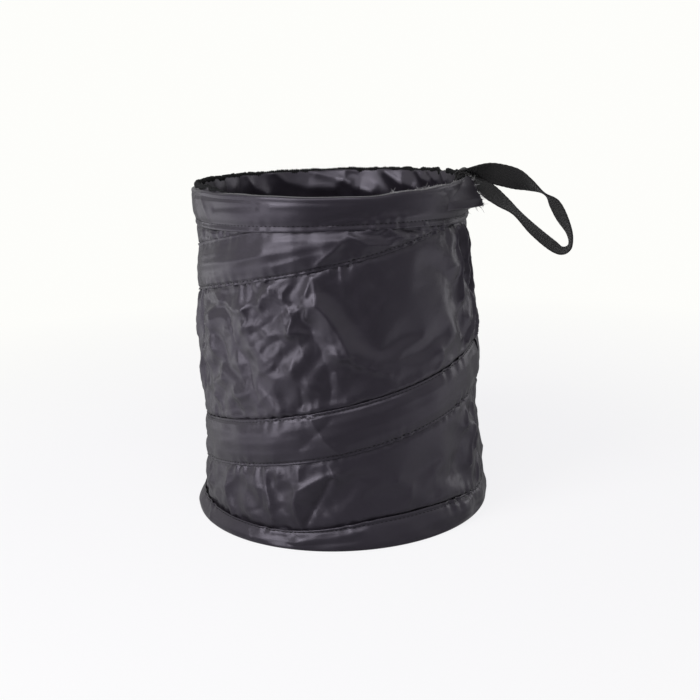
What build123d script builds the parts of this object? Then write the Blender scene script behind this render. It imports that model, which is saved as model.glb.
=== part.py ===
"""Pop-up car trash bin: a nylon tube held open by two wire hoops and a spiral wire.

The cloth wall stands on a round cloth base. A band sewn round its foot holds the bottom hoop,
a band sewn round its mouth holds the top hoop, and two casing strips, each sewn on from side
seam to side seam, hold the spiral wire. An overlocked edging closes the rim, and a webbing loop
is sewn in at the side seam. Lengths are millimetres and angles are degrees. The origin is on the
bin's axis, on the surface that it stands on, and +Z is up.
"""
from build123d import *
import os
from math import atan2, cos, degrees, exp, hypot, pi, radians, sin

# Overall size
HEIGHT = 194.0              # floor to the fold of the top band
WALL_BASE_RADIUS = 85.0     # outer face of the wall at the floor
WALL_TOP_RADIUS = 80.0      # outer face of the wall at the fold of the top band
SEAM_ANGLE = -15.0          # side seam, counter-clockwise from +X seen from above

# Cloth
CLOTH = 0.5                 # thickness of a cloth piece
CLEARANCE = 0.3             # gap between pieces that are laid or sewn together
SEAM_WIDTH = 8.0            # side seam's allowance, turned flat inside the wall
SEAM_THICKNESS = 0.8

# Folds of the slack wall between its sewn lines
WALL_COLUMNS = 72           # flat facets round the wall
WALL_ROWS = 14              # rows of them between the bands
FOLD_HEIGHT = 3.0           # from valley to crest, round the sides and the back
FOLD_PITCH = 28.0           # from crest to crest
FOLD_LEAN = 25.0            # lean of the crests from upright
FOLD_SWAY = 4.0             # how far a crest sways to either side as it climbs
FOLD_SWAY_RISE = 70.0       # climb of one sway
FOLD_MARGIN = 4.0           # flat cloth beside a sewn line
FOLD_FADE = 12.0            # distance over which the folds then grow to their height
FRONT_START = 215.0         # part of the wall, past the side seam, with folds of its own
FRONT_END = 345.0
FRONT_BLEND = 20.0          # angle over which the other folds die out there
FRONT_FOLD_WIDTH = 6.0      # distance from a front fold's crest at which it has fallen to a third

# Front folds: how far the crest stands out, and its route in angles past the side seam and heights.
FRONT_FOLDS = (
    (2.2, ((276, 154), (279, 137), (289, 112), (299, 104))),
    (-1.8, ((284, 142), (294, 121))),
    (1.6, ((248, 141), (247, 126), (252, 114))),
    (1.6, ((271, 150), (275, 137), (268, 124))),
    (1.4, ((255, 108), (266, 100), (272, 90))),
    (1.6, ((225, 126), (227, 110), (222, 99))),
    (1.4, ((226, 82), (234, 95))),
    (1.2, ((337, 112), (326, 100))),
    (1.8, ((353, 168), (353, 144), (346, 105))),
    (-1.6, ((262, 40), (263, 20))),
    (1.8, ((276, 40), (267, 26), (271, 14))),
    (-1.6, ((290, 40), (278, 18))),
    (1.6, ((349, 54), (356, 40), (351, 18))),
)

# Bands round the mouth and the foot
TOP_BAND_HEIGHT = 20.0
BOTTOM_BAND_HEIGHT = 14.0
BAND_LIP = 5.0              # height over which the top band slopes in to its sewn edge
HEM_HEIGHT = 4.6            # upright part of the bottom band, round the hoop
HEM_FLARE = 1.2             # how far the bottom hoop pushes the hem out from the wall
FOLD = 0.6                  # turned corner of a band
TAIL_REACH = 6.0            # raw end of the top band that stands out at the side seam
TAIL_DROP = 2.0             # how far the tail's tip hangs above the band's lower edge
TAIL_THICKNESS = 1.0
EDGING_HEIGHT = 3.5         # overlocked edge above the fold of the top band
EDGING_THICKNESS = 0.7

# Flat spring wire
WIRE_WIDTH = 2.2
WIRE_THICKNESS = 0.9
SLEEVE_WALL = 0.4           # crimped sleeve that closes a hoop
SLEEVE_FIT = 0.1
SLEEVE_LENGTH = 14.0
SLEEVE_ANGLE = 160.0
SPIRAL_TURNS = 1.79
SPIRAL_START = 59.5         # start of the spiral wire, past the side seam
SPIRAL_FOOT = 5.7           # height of the spiral wire's middle at its start

# Casing strips over the spiral wire
CASING_WIDTH = 27.0
CASING_CROWN = 8.0          # flat middle of the strip
CASING_PUFF = 1.0           # slack of the strip over the wire

# Webbing loop
STRAP_WIDTH = 13.0
STRAP_THICKNESS = 1.2
STRAP_TAIL = 14.0           # sewn ends inside the wall, below the fold of the top band
STRAP_SECTIONS = 72         # sections that the loop runs through
STRAP_RISE = 1.0            # how far the webbing stands off the edging as it bends over

# The loop's route from its outer sewn end to its inner one, past the rim: out from the top band,
# up from its fold, along the rim, and the webbing's turn from lying along the rim.
STRAP_ROUTE = (
    (2.6, 1.2, -0.2, 6.0),
    (5.8, -3.2, -0.8, 24.0),
    (11.2, -8.4, -1.6, 40.0),
    (17.2, -13.9, -2.4, 26.0),
    (24.5, -18.9, -3.0, 12.0),
    (34.1, -28.3, -2.8, 31.0),
    (44.2, -36.6, -1.6, 35.0),
    (50.3, -40.2, -0.6, 18.0),
    (54.4, -37.6, 0.4, 12.0),
    (53.8, -30.0, 1.2, 18.0),
    (49.4, -21.3, 2.0, 32.0),
    (45.0, -13.6, 2.6, 30.0),
    (39.6, -8.2, 3.0, 6.0),
    (31.5, -3.2, 3.0, 30.0),
    (22.3, 1.4, 2.4, 60.0),
    (12.6, 4.8, 1.4, 54.0),
    (4.6, 6.6, 0.5, 22.0),
)

# Sizes that follow from those above
POCKET = SLEEVE_WALL + SLEEVE_FIT + CLEARANCE
WALL_FOOT = CLOTH + CLEARANCE
WALL_EDGE = HEIGHT + EDGING_HEIGHT - EDGING_THICKNESS - CLEARANCE
WALL_LEAN = degrees(atan2(WALL_BASE_RADIUS - WALL_TOP_RADIUS, HEIGHT))
TOP_BAND_FOOT = HEIGHT - TOP_BAND_HEIGHT
TOP_HOOP_Z = HEIGHT - CLOTH - POCKET - WIRE_WIDTH / 2
BOTTOM_HOOP_Z = CLOTH + POCKET + WIRE_WIDTH / 2
EDGING_FOOT = HEIGHT + CLEARANCE
SPIRAL_HEAD = TOP_HOOP_Z - WIRE_WIDTH - POCKET
SPIRAL_PITCH = (SPIRAL_HEAD - SPIRAL_FOOT) / SPIRAL_TURNS
LAID_OUTER = CLEARANCE + CLOTH
FULL_TURN = 360.0


def wall_radius(z):
    """Outer radius of the leaning wall at a height."""
    return WALL_BASE_RADIUS + (WALL_TOP_RADIUS - WALL_BASE_RADIUS) * z / HEIGHT


def skin(points, thickness):
    """Closed outline of a cloth section, from the points of its outer face in (r, z).

    The inner face lies on the left of the direction in which the points run.
    """
    inner = []
    for i, point in enumerate(points):
        before = points[max(i - 1, 0)]
        after = points[min(i + 1, len(points) - 1)]
        normals = []
        for start, end in ((before, point), (point, after)):
            length = hypot(end[0] - start[0], end[1] - start[1])
            if length > 0:
                normals.append(((start[1] - end[1]) / length, (end[0] - start[0]) / length))
        sum_r = sum(normal[0] for normal in normals)
        sum_z = sum(normal[1] for normal in normals)
        share = thickness * len(normals) / (sum_r**2 + sum_z**2)
        inner.append((point[0] + sum_r * share, point[1] + sum_z * share))
    return list(points) + inner[::-1]


def turned(outline, start=0.0, arc=FULL_TURN):
    """Solid turned about the bin's axis from a closed outline in (r, z)."""
    face = Plane.XZ * make_face(Polyline(*outline, close=True))
    return Rot(0, 0, start) * revolve(face, Axis.Z, arc)


def block(r_in, r_out, z_low, z_high):
    """Closed rectangular outline in (r, z)."""
    return [(r_in, z_low), (r_out, z_low), (r_out, z_high), (r_in, z_high)]


def spiral_angle(z):
    """Angle at which the middle of the spiral wire passes a height."""
    return SEAM_ANGLE + SPIRAL_START + FULL_TURN * (z - SPIRAL_FOOT) / SPIRAL_PITCH


def spiral_z(angle_past_seam):
    """Height of the spiral's middle at an angle past the side seam."""
    return SPIRAL_FOOT + SPIRAL_PITCH * (angle_past_seam - SPIRAL_START) / FULL_TURN


def along_spiral(section, start, arc):
    """Solid swept up the leaning wall along the spiral.

    The section is a closed outline of (out from the wall's outer face, down across the spiral).
    """
    z_start = spiral_z(start)
    path = Helix(
        pitch=SPIRAL_PITCH,
        height=SPIRAL_PITCH * arc / FULL_TURN,
        radius=wall_radius(z_start),
        center=(0, 0, z_start),
        cone_angle=-WALL_LEAN,
    )
    at_start = Plane(origin=path @ 0, x_dir=(1, 0, 0), z_dir=path % 0)
    face = at_start * (Rot(0, 0, -WALL_LEAN) * make_face(Polyline(*section, close=True)))
    return Rot(0, 0, SEAM_ANGLE + start) * sweep(face, path, is_frenet=True)


def smooth_step(share):
    """Smooth rise from 0 to 1 as the share goes from 0 to 1."""
    share = min(max(share, 0.0), 1.0)
    return share * share * (3 - 2 * share)


def slack(angle, z):
    """Share of its height that a fold has at a place on the wall: none at the sewn lines."""
    gaps = [z - BOTTOM_BAND_HEIGHT, TOP_BAND_FOOT - z]
    for turn in (0, 1):
        gaps.append(abs(z - spiral_z(angle + FULL_TURN * turn)) - CASING_WIDTH / 2)
    gaps.append(radians(min(angle, FULL_TURN - angle)) * wall_radius(z) - SEAM_WIDTH / 2)
    return smooth_step((min(gaps) - FOLD_MARGIN) / FOLD_FADE)


def route_distance(angle, z, route):
    """Distance on the wall from a place to a fold's route."""
    per_degree = radians(wall_radius(z))
    nearest = []
    for start, end in zip(route, route[1:]):
        x, y = (angle - start[0]) * per_degree, z - start[1]
        run_x, run_y = (end[0] - start[0]) * per_degree, end[1] - start[1]
        share = min(max((x * run_x + y * run_y) / (run_x**2 + run_y**2), 0.0), 1.0)
        nearest.append(hypot(x - share * run_x, y - share * run_y))
    return min(nearest)


def fold_lift(angle, z):
    """How far the slack cloth stands out from the leaning wall at an angle past the side seam.

    Leaning folds run round the sides and the back, and the front has folds of its own.
    """
    arc = radians(angle) * wall_radius(z)
    sway = FOLD_SWAY * sin(2 * pi * z / FOLD_SWAY_RISE)
    lean = radians(FOLD_LEAN)
    wave = cos(2 * pi * ((arc + sway) * cos(lean) + z * sin(lean)) / FOLD_PITCH)
    rest = 1 - smooth_step((angle - FRONT_START) / FRONT_BLEND) * smooth_step((FRONT_END - angle) / FRONT_BLEND)
    lift = rest * wave * FOLD_HEIGHT / 2
    for height, route in FRONT_FOLDS:
        lift += height * exp(-((route_distance(angle, z, route) / FRONT_FOLD_WIDTH) ** 2))
    return slack(angle, z) * lift


def faceted(sections, ring=False):
    """Solid of flat triangles between closed sections, each a list of as many points.

    The last section joins the first in a ring, and is closed by a face where there is none.
    Each cell between two sections is split along its shorter diagonal.
    """
    faces = []
    follow = sections[1:] + sections[:1] if ring else sections[1:]
    for here, there in zip(sections, follow):
        for i, start in enumerate(here):
            after = (i + 1) % len(here)
            corners = [start, here[after], there[after], there[i]]
            if (corners[1] - corners[3]).length < (corners[0] - corners[2]).length:
                corners = corners[1:] + corners[:1]
            for triangle in (corners[:3], [corners[0]] + corners[2:]):
                faces.append(Face(Wire.make_polygon(triangle)))
    if not ring:
        faces += [Face(Wire.make_polygon(section)) for section in (sections[0], sections[-1])]
    return Solid(Shell(faces))


def mouthed_band(sewn, open_edge, mouth_middle, mouth_arc):
    """Band whose sewn edge is left open over one arc, where the spiral wire passes in."""
    mouth_end = mouth_middle + mouth_arc / 2
    closed = turned(skin(sewn, CLOTH), mouth_end, FULL_TURN - mouth_arc)
    mouth = turned(skin(open_edge, CLOTH), mouth_end - mouth_arc, mouth_arc)
    return closed + mouth


def hoop_radius(z, flare=0.0):
    """Inner radius of a hoop that lies outside the wall at a height."""
    return wall_radius(z) + POCKET + flare


def hoop(z, flare=0.0):
    """Flat spring wire bent into a ring, with its wide side upright."""
    inner = hoop_radius(z, flare)
    half = WIRE_WIDTH / 2
    return turned(block(inner, inner + WIRE_THICKNESS, z - half, z + half))


def hoop_sleeve(z, flare=0.0):
    """Short sleeve crimped round the meeting ends of a hoop."""
    inner = hoop_radius(z, flare)
    middle = inner + WIRE_THICKNESS / 2
    arc = degrees(SLEEVE_LENGTH / middle)
    half = WIRE_WIDTH / 2
    grown = SLEEVE_FIT + SLEEVE_WALL
    bore = block(inner - SLEEVE_FIT, inner + WIRE_THICKNESS + SLEEVE_FIT,
                 z - half - SLEEVE_FIT, z + half + SLEEVE_FIT)
    outside = block(inner - grown, inner + WIRE_THICKNESS + grown, z - half - grown, z + half + grown)
    return turned(outside, SLEEVE_ANGLE, arc) - turned(bore, SLEEVE_ANGLE, arc)


def band_face():
    """Outer radius of the top band over its hoop."""
    return hoop_radius(TOP_HOOP_Z) + WIRE_THICKNESS + POCKET + CLOTH


def edging_outer():
    """Outer radius of the overlocked edging."""
    return wall_radius(EDGING_FOOT) + LAID_OUTER + CLEARANCE + EDGING_THICKNESS


def edging_inner():
    """Inner radius of the overlocked edging."""
    return wall_radius(HEIGHT + EDGING_HEIGHT) - CLOTH - CLEARANCE - EDGING_THICKNESS


def base_panel():
    """Round cloth floor of the bin."""
    return turned(block(0, WALL_BASE_RADIUS, 0, CLOTH))


def wall_panel():
    """Leaning cloth tube, folded between its sewn lines, with the side seam's allowance inside."""
    row = (TOP_BAND_FOOT - BOTTOM_BAND_HEIGHT) / WALL_ROWS
    heights = [WALL_FOOT]
    heights += [BOTTOM_BAND_HEIGHT + row * i for i in range(WALL_ROWS + 1)]
    heights += [WALL_EDGE]
    columns = []
    for i in range(WALL_COLUMNS):
        angle = FULL_TURN * i / WALL_COLUMNS
        way = Vector(1, 0, 0).rotate(Axis.Z, SEAM_ANGLE + angle)
        outer = []
        for z in heights:
            outer.append(way * (wall_radius(z) + fold_lift(angle, z)) + Vector(0, 0, z))
        columns.append(outer + [point - way * CLOTH for point in reversed(outer)])
    tube = faceted(columns, ring=True)
    seam_head = EDGING_FOOT - CLEARANCE
    seam = []
    for z in (WALL_FOOT, seam_head):
        seam.append((wall_radius(z) - CLOTH / 2, z))
    arc = degrees(SEAM_WIDTH / WALL_TOP_RADIUS)
    allowance = turned(skin(seam, CLOTH / 2 + SEAM_THICKNESS), SEAM_ANGLE - arc / 2, arc)
    return tube + allowance


def bottom_band():
    """Hem round the foot: it holds the bottom hoop and slopes in to its sewn upper edge."""
    hem = hoop_radius(BOTTOM_HOOP_Z, HEM_FLARE) + WIRE_THICKNESS + POCKET + CLOTH
    at_wall = wall_radius(BOTTOM_BAND_HEIGHT)
    below = [
        (WALL_BASE_RADIUS + CLEARANCE, 0),
        (hem - FOLD, 0),
        (hem, FOLD),
        (hem, HEM_HEIGHT),
    ]
    sewn = below + [(at_wall + LAID_OUTER, BOTTOM_BAND_HEIGHT)]
    open_edge = below + [(at_wall + LAID_OUTER + WIRE_THICKNESS + CLEARANCE, BOTTOM_BAND_HEIGHT)]
    slope = BOTTOM_BAND_HEIGHT - HEM_HEIGHT
    arc = FULL_TURN * (slope + 2 * WIRE_WIDTH) / SPIRAL_PITCH
    return mouthed_band(sewn, open_edge, spiral_angle(BOTTOM_BAND_HEIGHT - slope / 2), arc)


def top_band():
    """Casing round the mouth: sewn edge, hoop pocket, fold, and an upright seam edge."""
    face = band_face()
    above = [
        (face, HEIGHT - FOLD),
        (face - FOLD, HEIGHT),
        (wall_radius(HEIGHT) + LAID_OUTER, HEIGHT),
        (wall_radius(WALL_EDGE) + LAID_OUTER, WALL_EDGE),
    ]
    lip_head = (face, TOP_BAND_FOOT + BAND_LIP)
    sewn = [(wall_radius(TOP_BAND_FOOT) + LAID_OUTER, TOP_BAND_FOOT), lip_head] + above
    open_edge = [(face, TOP_BAND_FOOT), lip_head] + above
    arc = FULL_TURN * (BAND_LIP + 2 * WIRE_WIDTH) / SPIRAL_PITCH
    band = mouthed_band(sewn, open_edge, spiral_angle(TOP_BAND_FOOT + BAND_LIP / 2), arc)
    tip = TOP_BAND_FOOT + TAIL_DROP
    tail = make_face(Polyline(
        (face - CLOTH, HEIGHT - FOLD),
        (face + TAIL_REACH, tip),
        (face - CLOTH, TOP_BAND_FOOT + BAND_LIP),
        close=True,
    ))
    return band + Rot(0, 0, SEAM_ANGLE) * extrude(Plane.XZ * tail, TAIL_THICKNESS / 2, both=True)


def rim_edging():
    """Overlocked thread wrapped over the upright edges of the wall and the top band."""
    head = HEIGHT + EDGING_HEIGHT
    wrap = [
        (edging_outer(), EDGING_FOOT),
        (edging_outer(), head),
        (edging_inner(), head),
        (edging_inner(), EDGING_FOOT),
    ]
    return turned(skin(wrap, EDGING_THICKNESS))


def spiral_wire():
    """Flat spring wire that climbs the wall between the two hoops."""
    section = block(CLEARANCE, CLEARANCE + WIRE_THICKNESS, -WIRE_WIDTH / 2, WIRE_WIDTH / 2)
    return along_spiral(section, SPIRAL_START, FULL_TURN * SPIRAL_TURNS)


def casing(turn):
    """Strip over one turn of the spiral wire, trimmed where it runs under a band."""
    crown = 2 * CLEARANCE + WIRE_THICKNESS + CASING_PUFF + CLOTH
    half = CASING_WIDTH / 2
    outer = [
        (LAID_OUTER, -half),
        (crown, -CASING_CROWN / 2),
        (crown, CASING_CROWN / 2),
        (LAID_OUTER, half),
    ]
    gap = degrees(CLEARANCE / WALL_BASE_RADIUS)
    strip = along_spiral(skin(outer, CLOTH), FULL_TURN * turn + gap, FULL_TURN - 2 * gap)
    low = BOTTOM_BAND_HEIGHT + CLEARANCE
    high = TOP_BAND_FOOT - CLEARANCE
    reach = 2 * (WALL_BASE_RADIUS + crown)
    between = Pos(0, 0, low) * Cylinder(reach, high - low, align=(Align.CENTER, Align.CENTER, Align.MIN))
    return strip & between


def strap_ends():
    """Middle line of the two sewn ends, each from its tail to where it leaves the rim.

    The first end lies on the edging's inner face, and the second lies on the first.
    """
    rim = band_face()
    sag = STRAP_WIDTH**2 / (8 * edging_inner())
    near = edging_inner() - rim - sag
    far = edging_outer() - rim
    slant = sin(radians(45))
    ends = []
    for layer in (0, 1):
        reach = CLEARANCE + STRAP_THICKNESS / 2 + layer * (STRAP_THICKNESS + CLEARANCE)
        bend = slant * (reach + STRAP_RISE)
        ends.append([
            (near - reach, -STRAP_TAIL, 0, 0),
            (near - reach, -STRAP_TAIL / 2, 0, 0),
            (near - reach, EDGING_HEIGHT - STRAP_RISE, 0, 0),
            (near - slant * reach, EDGING_HEIGHT + bend, 0, 0),
            ((near + far) / 2, EDGING_HEIGHT + reach + STRAP_RISE, 0, 0),
        ])
    ends[0].append((far + bend, EDGING_HEIGHT + bend, 0, 0))
    return ends


def turn_at(share, shares, turns):
    """Webbing's turn at a share of the route's length, between the stations on either side."""
    for i in range(1, len(shares)):
        if share <= shares[i]:
            part_way = (share - shares[i - 1]) / (shares[i] - shares[i - 1])
            return turns[i - 1] + (turns[i] - turns[i - 1]) * part_way
    return turns[-1]


def strap():
    """Webbing loop sewn inside the wall at the side seam, carried along its twisting route."""
    first, second = strap_ends()
    stations = first + list(STRAP_ROUTE) + second[::-1]
    points = [Vector(out, along, up) for out, up, along, turn in stations]
    lengths = [0.0]
    for before, after in zip(points, points[1:]):
        lengths.append(lengths[-1] + (after - before).length)
    shares = [length / lengths[-1] for length in lengths]
    turns = [station[3] for station in stations]
    route = Spline(*points)
    sections = []
    for i in range(STRAP_SECTIONS + 1):
        share = i / STRAP_SECTIONS
        way = route % share
        level = Vector(-way.Y * way.X, 1 - way.Y * way.Y, -way.Y * way.Z).normalized()
        across = level.rotate(Axis((0, 0, 0), way), turn_at(share, shares, turns))
        side = across * (STRAP_WIDTH / 2)
        out = way.cross(across) * (STRAP_THICKNESS / 2)
        middle = route @ share
        sections.append([middle - side - out, middle + side - out, middle + side + out, middle - side + out])
    return Rot(0, 0, SEAM_ANGLE) * Pos(band_face(), 0, HEIGHT) * faceted(sections)


os.makedirs("parts", exist_ok=True)
NODES = {
    "base_panel": base_panel(),
    "wall_panel": wall_panel(),
    "bottom_band": bottom_band(),
    "bottom_hoop": hoop(BOTTOM_HOOP_Z, HEM_FLARE),
    "bottom_hoop_sleeve": hoop_sleeve(BOTTOM_HOOP_Z, HEM_FLARE),
    "spiral_wire": spiral_wire(),
    "lower_casing": casing(0),
    "upper_casing": casing(1),
    "top_band": top_band(),
    "top_hoop": hoop(TOP_HOOP_Z),
    "top_hoop_sleeve": hoop_sleeve(TOP_HOOP_Z),
    "rim_edging": rim_edging(),
    "strap": strap(),
}
for name, solid in NODES.items():
    export_step(solid, f"parts/{name}.step")
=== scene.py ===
"""Dresses the pop-up car trash bin: crumpled nylon wall, sewn casings, bands, edging and webbing loop.

Lengths are millimetres on the numpy side and become metres where a mesh is made. Angles round the
bin are degrees past the side seam, counter-clockwise seen from above, unless a name says otherwise.
"""
import logging
from dataclasses import dataclass
from enum import Enum
from typing import Optional, Sequence

import bpy
import numpy as np
from mathutils import Matrix


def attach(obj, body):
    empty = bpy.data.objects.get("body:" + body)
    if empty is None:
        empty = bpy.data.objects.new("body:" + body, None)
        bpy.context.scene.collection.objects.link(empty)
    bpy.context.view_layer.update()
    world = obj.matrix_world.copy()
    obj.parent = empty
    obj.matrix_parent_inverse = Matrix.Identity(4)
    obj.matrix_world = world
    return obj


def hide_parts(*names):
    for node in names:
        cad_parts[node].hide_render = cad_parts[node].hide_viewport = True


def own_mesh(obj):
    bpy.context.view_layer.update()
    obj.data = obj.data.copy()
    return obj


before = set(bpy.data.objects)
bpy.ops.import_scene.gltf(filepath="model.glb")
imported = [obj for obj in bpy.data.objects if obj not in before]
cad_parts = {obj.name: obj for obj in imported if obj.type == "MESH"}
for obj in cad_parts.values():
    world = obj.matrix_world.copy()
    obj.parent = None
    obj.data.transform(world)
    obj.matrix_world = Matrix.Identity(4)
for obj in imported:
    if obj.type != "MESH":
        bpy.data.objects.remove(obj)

Array = np.ndarray
LOG = logging.getLogger("bin")
MM = 0.001
TURN = 360.0


class Body(Enum):
    """Bodies of the frame."""

    BASE = "base"
    RIM = "rim"


class Slot(Enum):
    """Material slots of the record."""

    PANEL = "panel_cloth"
    BAND = "band_cloth"
    CASING = "casing_cloth"
    THREAD = "thread"
    WEBBING = "webbing"
    STEEL = "spring_steel"
    SLEEVE = "sleeve_metal"


class Turn(Enum):
    """The two turns of the spiral wire, each under a casing strip of its own."""

    LOWER = 0
    UPPER = 1


def smooth(low: float, high: float, value: Array) -> Array:
    """Rise from 0 at low to 1 at high along a smooth step; high may be less than low."""
    share = np.clip((value - low) / (high - low), 0.0, 1.0)
    return share * share * (3.0 - 2.0 * share)


def apart(angle: Array, middle: float) -> Array:
    """Signed angle from middle to angle, from -180 to 180 degrees."""
    return (angle - middle + TURN / 2) % TURN - TURN / 2


def hump(angle: Array, middle: float, width: float) -> Array:
    """Bell curve round the bin: 1 at middle, falling off over width degrees."""
    return np.exp(-((apart(angle, middle) / width) ** 2))


@dataclass(frozen=True)
class Ripple:
    """Sum of seeded sine waves that run round and up the bin, with a spread of about 1.

    Attributes:
        seed: seed of the waves' phases and directions.
        waves: how many waves are summed.
        around: least and most whole waves in one turn.
        up: least and most waves in 100 mm of height.
    """

    seed: int
    waves: int
    around: tuple[int, int]
    up: tuple[float, float]

    def __call__(self, angle: Array, z: Array) -> Array:
        """Read the ripple: the sum of sin(n * angle + m * z + phase), scaled to unit spread.

        Args:
            angle: degrees past the seam.
            z: height.

        Returns:
            The ripple at each place.
        """
        draw = np.random.default_rng(self.seed)
        total = np.zeros(np.broadcast(angle, z).shape)
        for _ in range(self.waves):
            count = draw.integers(self.around[0], self.around[1] + 1)
            climb = draw.uniform(*self.up) * draw.choice((-1.0, 1.0))
            phase = draw.uniform(0.0, 2 * np.pi)
            total += np.sin(phase + np.radians(count * angle) + 2 * np.pi * climb * z / 100.0)
        return total * np.sqrt(2.0 / self.waves)


@dataclass(frozen=True)
class Crumple:
    """Flat facets between sharp creases, as in crumpled thin cloth.

    Attributes:
        seed: seed of the corners' heights.
        around: corners of the facets in one turn.
        rise: height of a row of corners in millimetres.
        warp: how far the corners stray from their rows, in facets.
    """

    seed: int
    around: int
    rise: float
    warp: float = 0.4

    def __call__(self, angle: Array, z: Array) -> Array:
        """Read the facets: each cell of a warped grid is two triangles between random heights.

        Cells take turns in which diagonal splits them, and each triangle is linear.

        Args:
            angle: degrees past the seam.
            z: height.

        Returns:
            Height with a spread of about 1.
        """
        u = angle / TURN * self.around + self.warp * Ripple(self.seed + 1, 8, (3, 11), (0.4, 2.0))(angle, z)
        v = z / self.rise + self.warp * Ripple(self.seed + 2, 8, (3, 11), (0.4, 2.0))(angle, z) + 4.0
        rows = int(np.ceil(v.max())) + 2
        heights = np.random.default_rng(self.seed).normal(0.0, 1.0, (self.around, rows))
        i = np.floor(u).astype(int)
        j = np.floor(v).astype(int)
        f = u - i
        g = v - j
        near, far = i % self.around, (i + 1) % self.around
        low, right = heights[near, j], heights[far, j]
        up, across = heights[near, j + 1], heights[far, j + 1]
        rising = np.where(f >= g, low + f * (right - low) + g * (across - right),
                          low + g * (up - low) + f * (across - up))
        falling = np.where(f + g <= 1, low + f * (right - low) + g * (up - low),
                           across + (1 - f) * (up - across) + (1 - g) * (right - across))
        return np.where((i + j) % 2 == 0, rising, falling)


@dataclass(frozen=True)
class Course:
    """A height that changes round the bin through given stations.

    Attributes:
        stations: pairs of (angle past the seam, height), by rising angle.
        blur: degrees over which the corners at the stations are smoothed.
    """

    stations: tuple[tuple[float, float], ...]
    blur: int = 5

    def __call__(self, angle: Array) -> Array:
        """Read the course: straight runs between stations, averaged over blur degrees each way.

        Args:
            angle: degrees past the seam.

        Returns:
            Height.
        """
        spots, heights = np.array(self.stations).T
        shifts = np.linspace(-self.blur, self.blur, 9)
        total = sum(np.interp((angle + shift) % TURN, spots, heights, period=TURN) for shift in shifts)
        return total / len(shifts)


@dataclass(frozen=True)
class Fold:
    """A crease in the cloth along a short route.

    Attributes:
        route: places on the wall that the crease runs through, as (angle past the seam, height).
        height: how far its crest stands out; a valley has a negative height.
        width: distance from the crest at which it has fallen to about a third.
        soft: whether its crest is round.
    """

    route: tuple[tuple[float, float], ...]
    height: float
    width: float
    soft: bool = False

    def lift(self, angle: Array, z: Array, radius: float) -> Array:
        """Height of the crease: its crest's height times exp(-distance / width), eased at the crest.

        A soft one is a bell curve of the distance.

        Args:
            angle: degrees past the seam.
            z: height.
            radius: radius at which the wall is unrolled.

        Returns:
            Lift.
        """
        nearest = np.full(np.broadcast(angle, z).shape, np.inf)
        for start, end in zip(self.route, self.route[1:]):
            x = np.radians(apart(angle, start[0])) * radius
            y = z - start[1]
            run_x = np.radians(end[0] - start[0]) * radius
            run_y = end[1] - start[1]
            share = np.clip((x * run_x + y * run_y) / (run_x**2 + run_y**2), 0.0, 1.0)
            nearest = np.minimum(nearest, np.hypot(x - share * run_x, y - share * run_y))
        if self.soft:
            return self.height * np.exp(-((nearest / self.width) ** 2))
        eased = np.sqrt(nearest**2 + (0.3 * self.width) ** 2) - 0.3 * self.width
        return self.height * np.exp(-eased / self.width)


def fold_sum(folds: Sequence[Fold], angle: Array, z: Array, radius: float) -> Array:
    """Sum of the lifts of several creases."""
    return sum(fold.lift(angle, z, radius) for fold in folds)


HEM_COURSE = Course((
    (20, 14), (140, 14), (180, 11.5), (200, 9.8), (216, 10.2), (230, 9.9), (254, 9.3), (263, 9.5),
    (271, 10.4), (280, 12), (288, 14), (299, 16.2), (320, 17.2), (335, 16), (347, 14.4),
))

# How far the left and the right side stand out from the cone, as (height, distance).
LEFT_STRAY = (
    (0, 0), (20, -1), (45, -3.4), (60, -2.8), (95, -1.4), (130, -1), (150, -2.4), (168, -1.4), (194, -1),
)
RIGHT_STRAY = (
    (0, 1), (20, 2), (50, 0.8), (70, 0.9), (95, 1), (120, 0.8), (135, 0), (150, -1.6), (165, -2.6),
    (194, -2.6),
)


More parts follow.
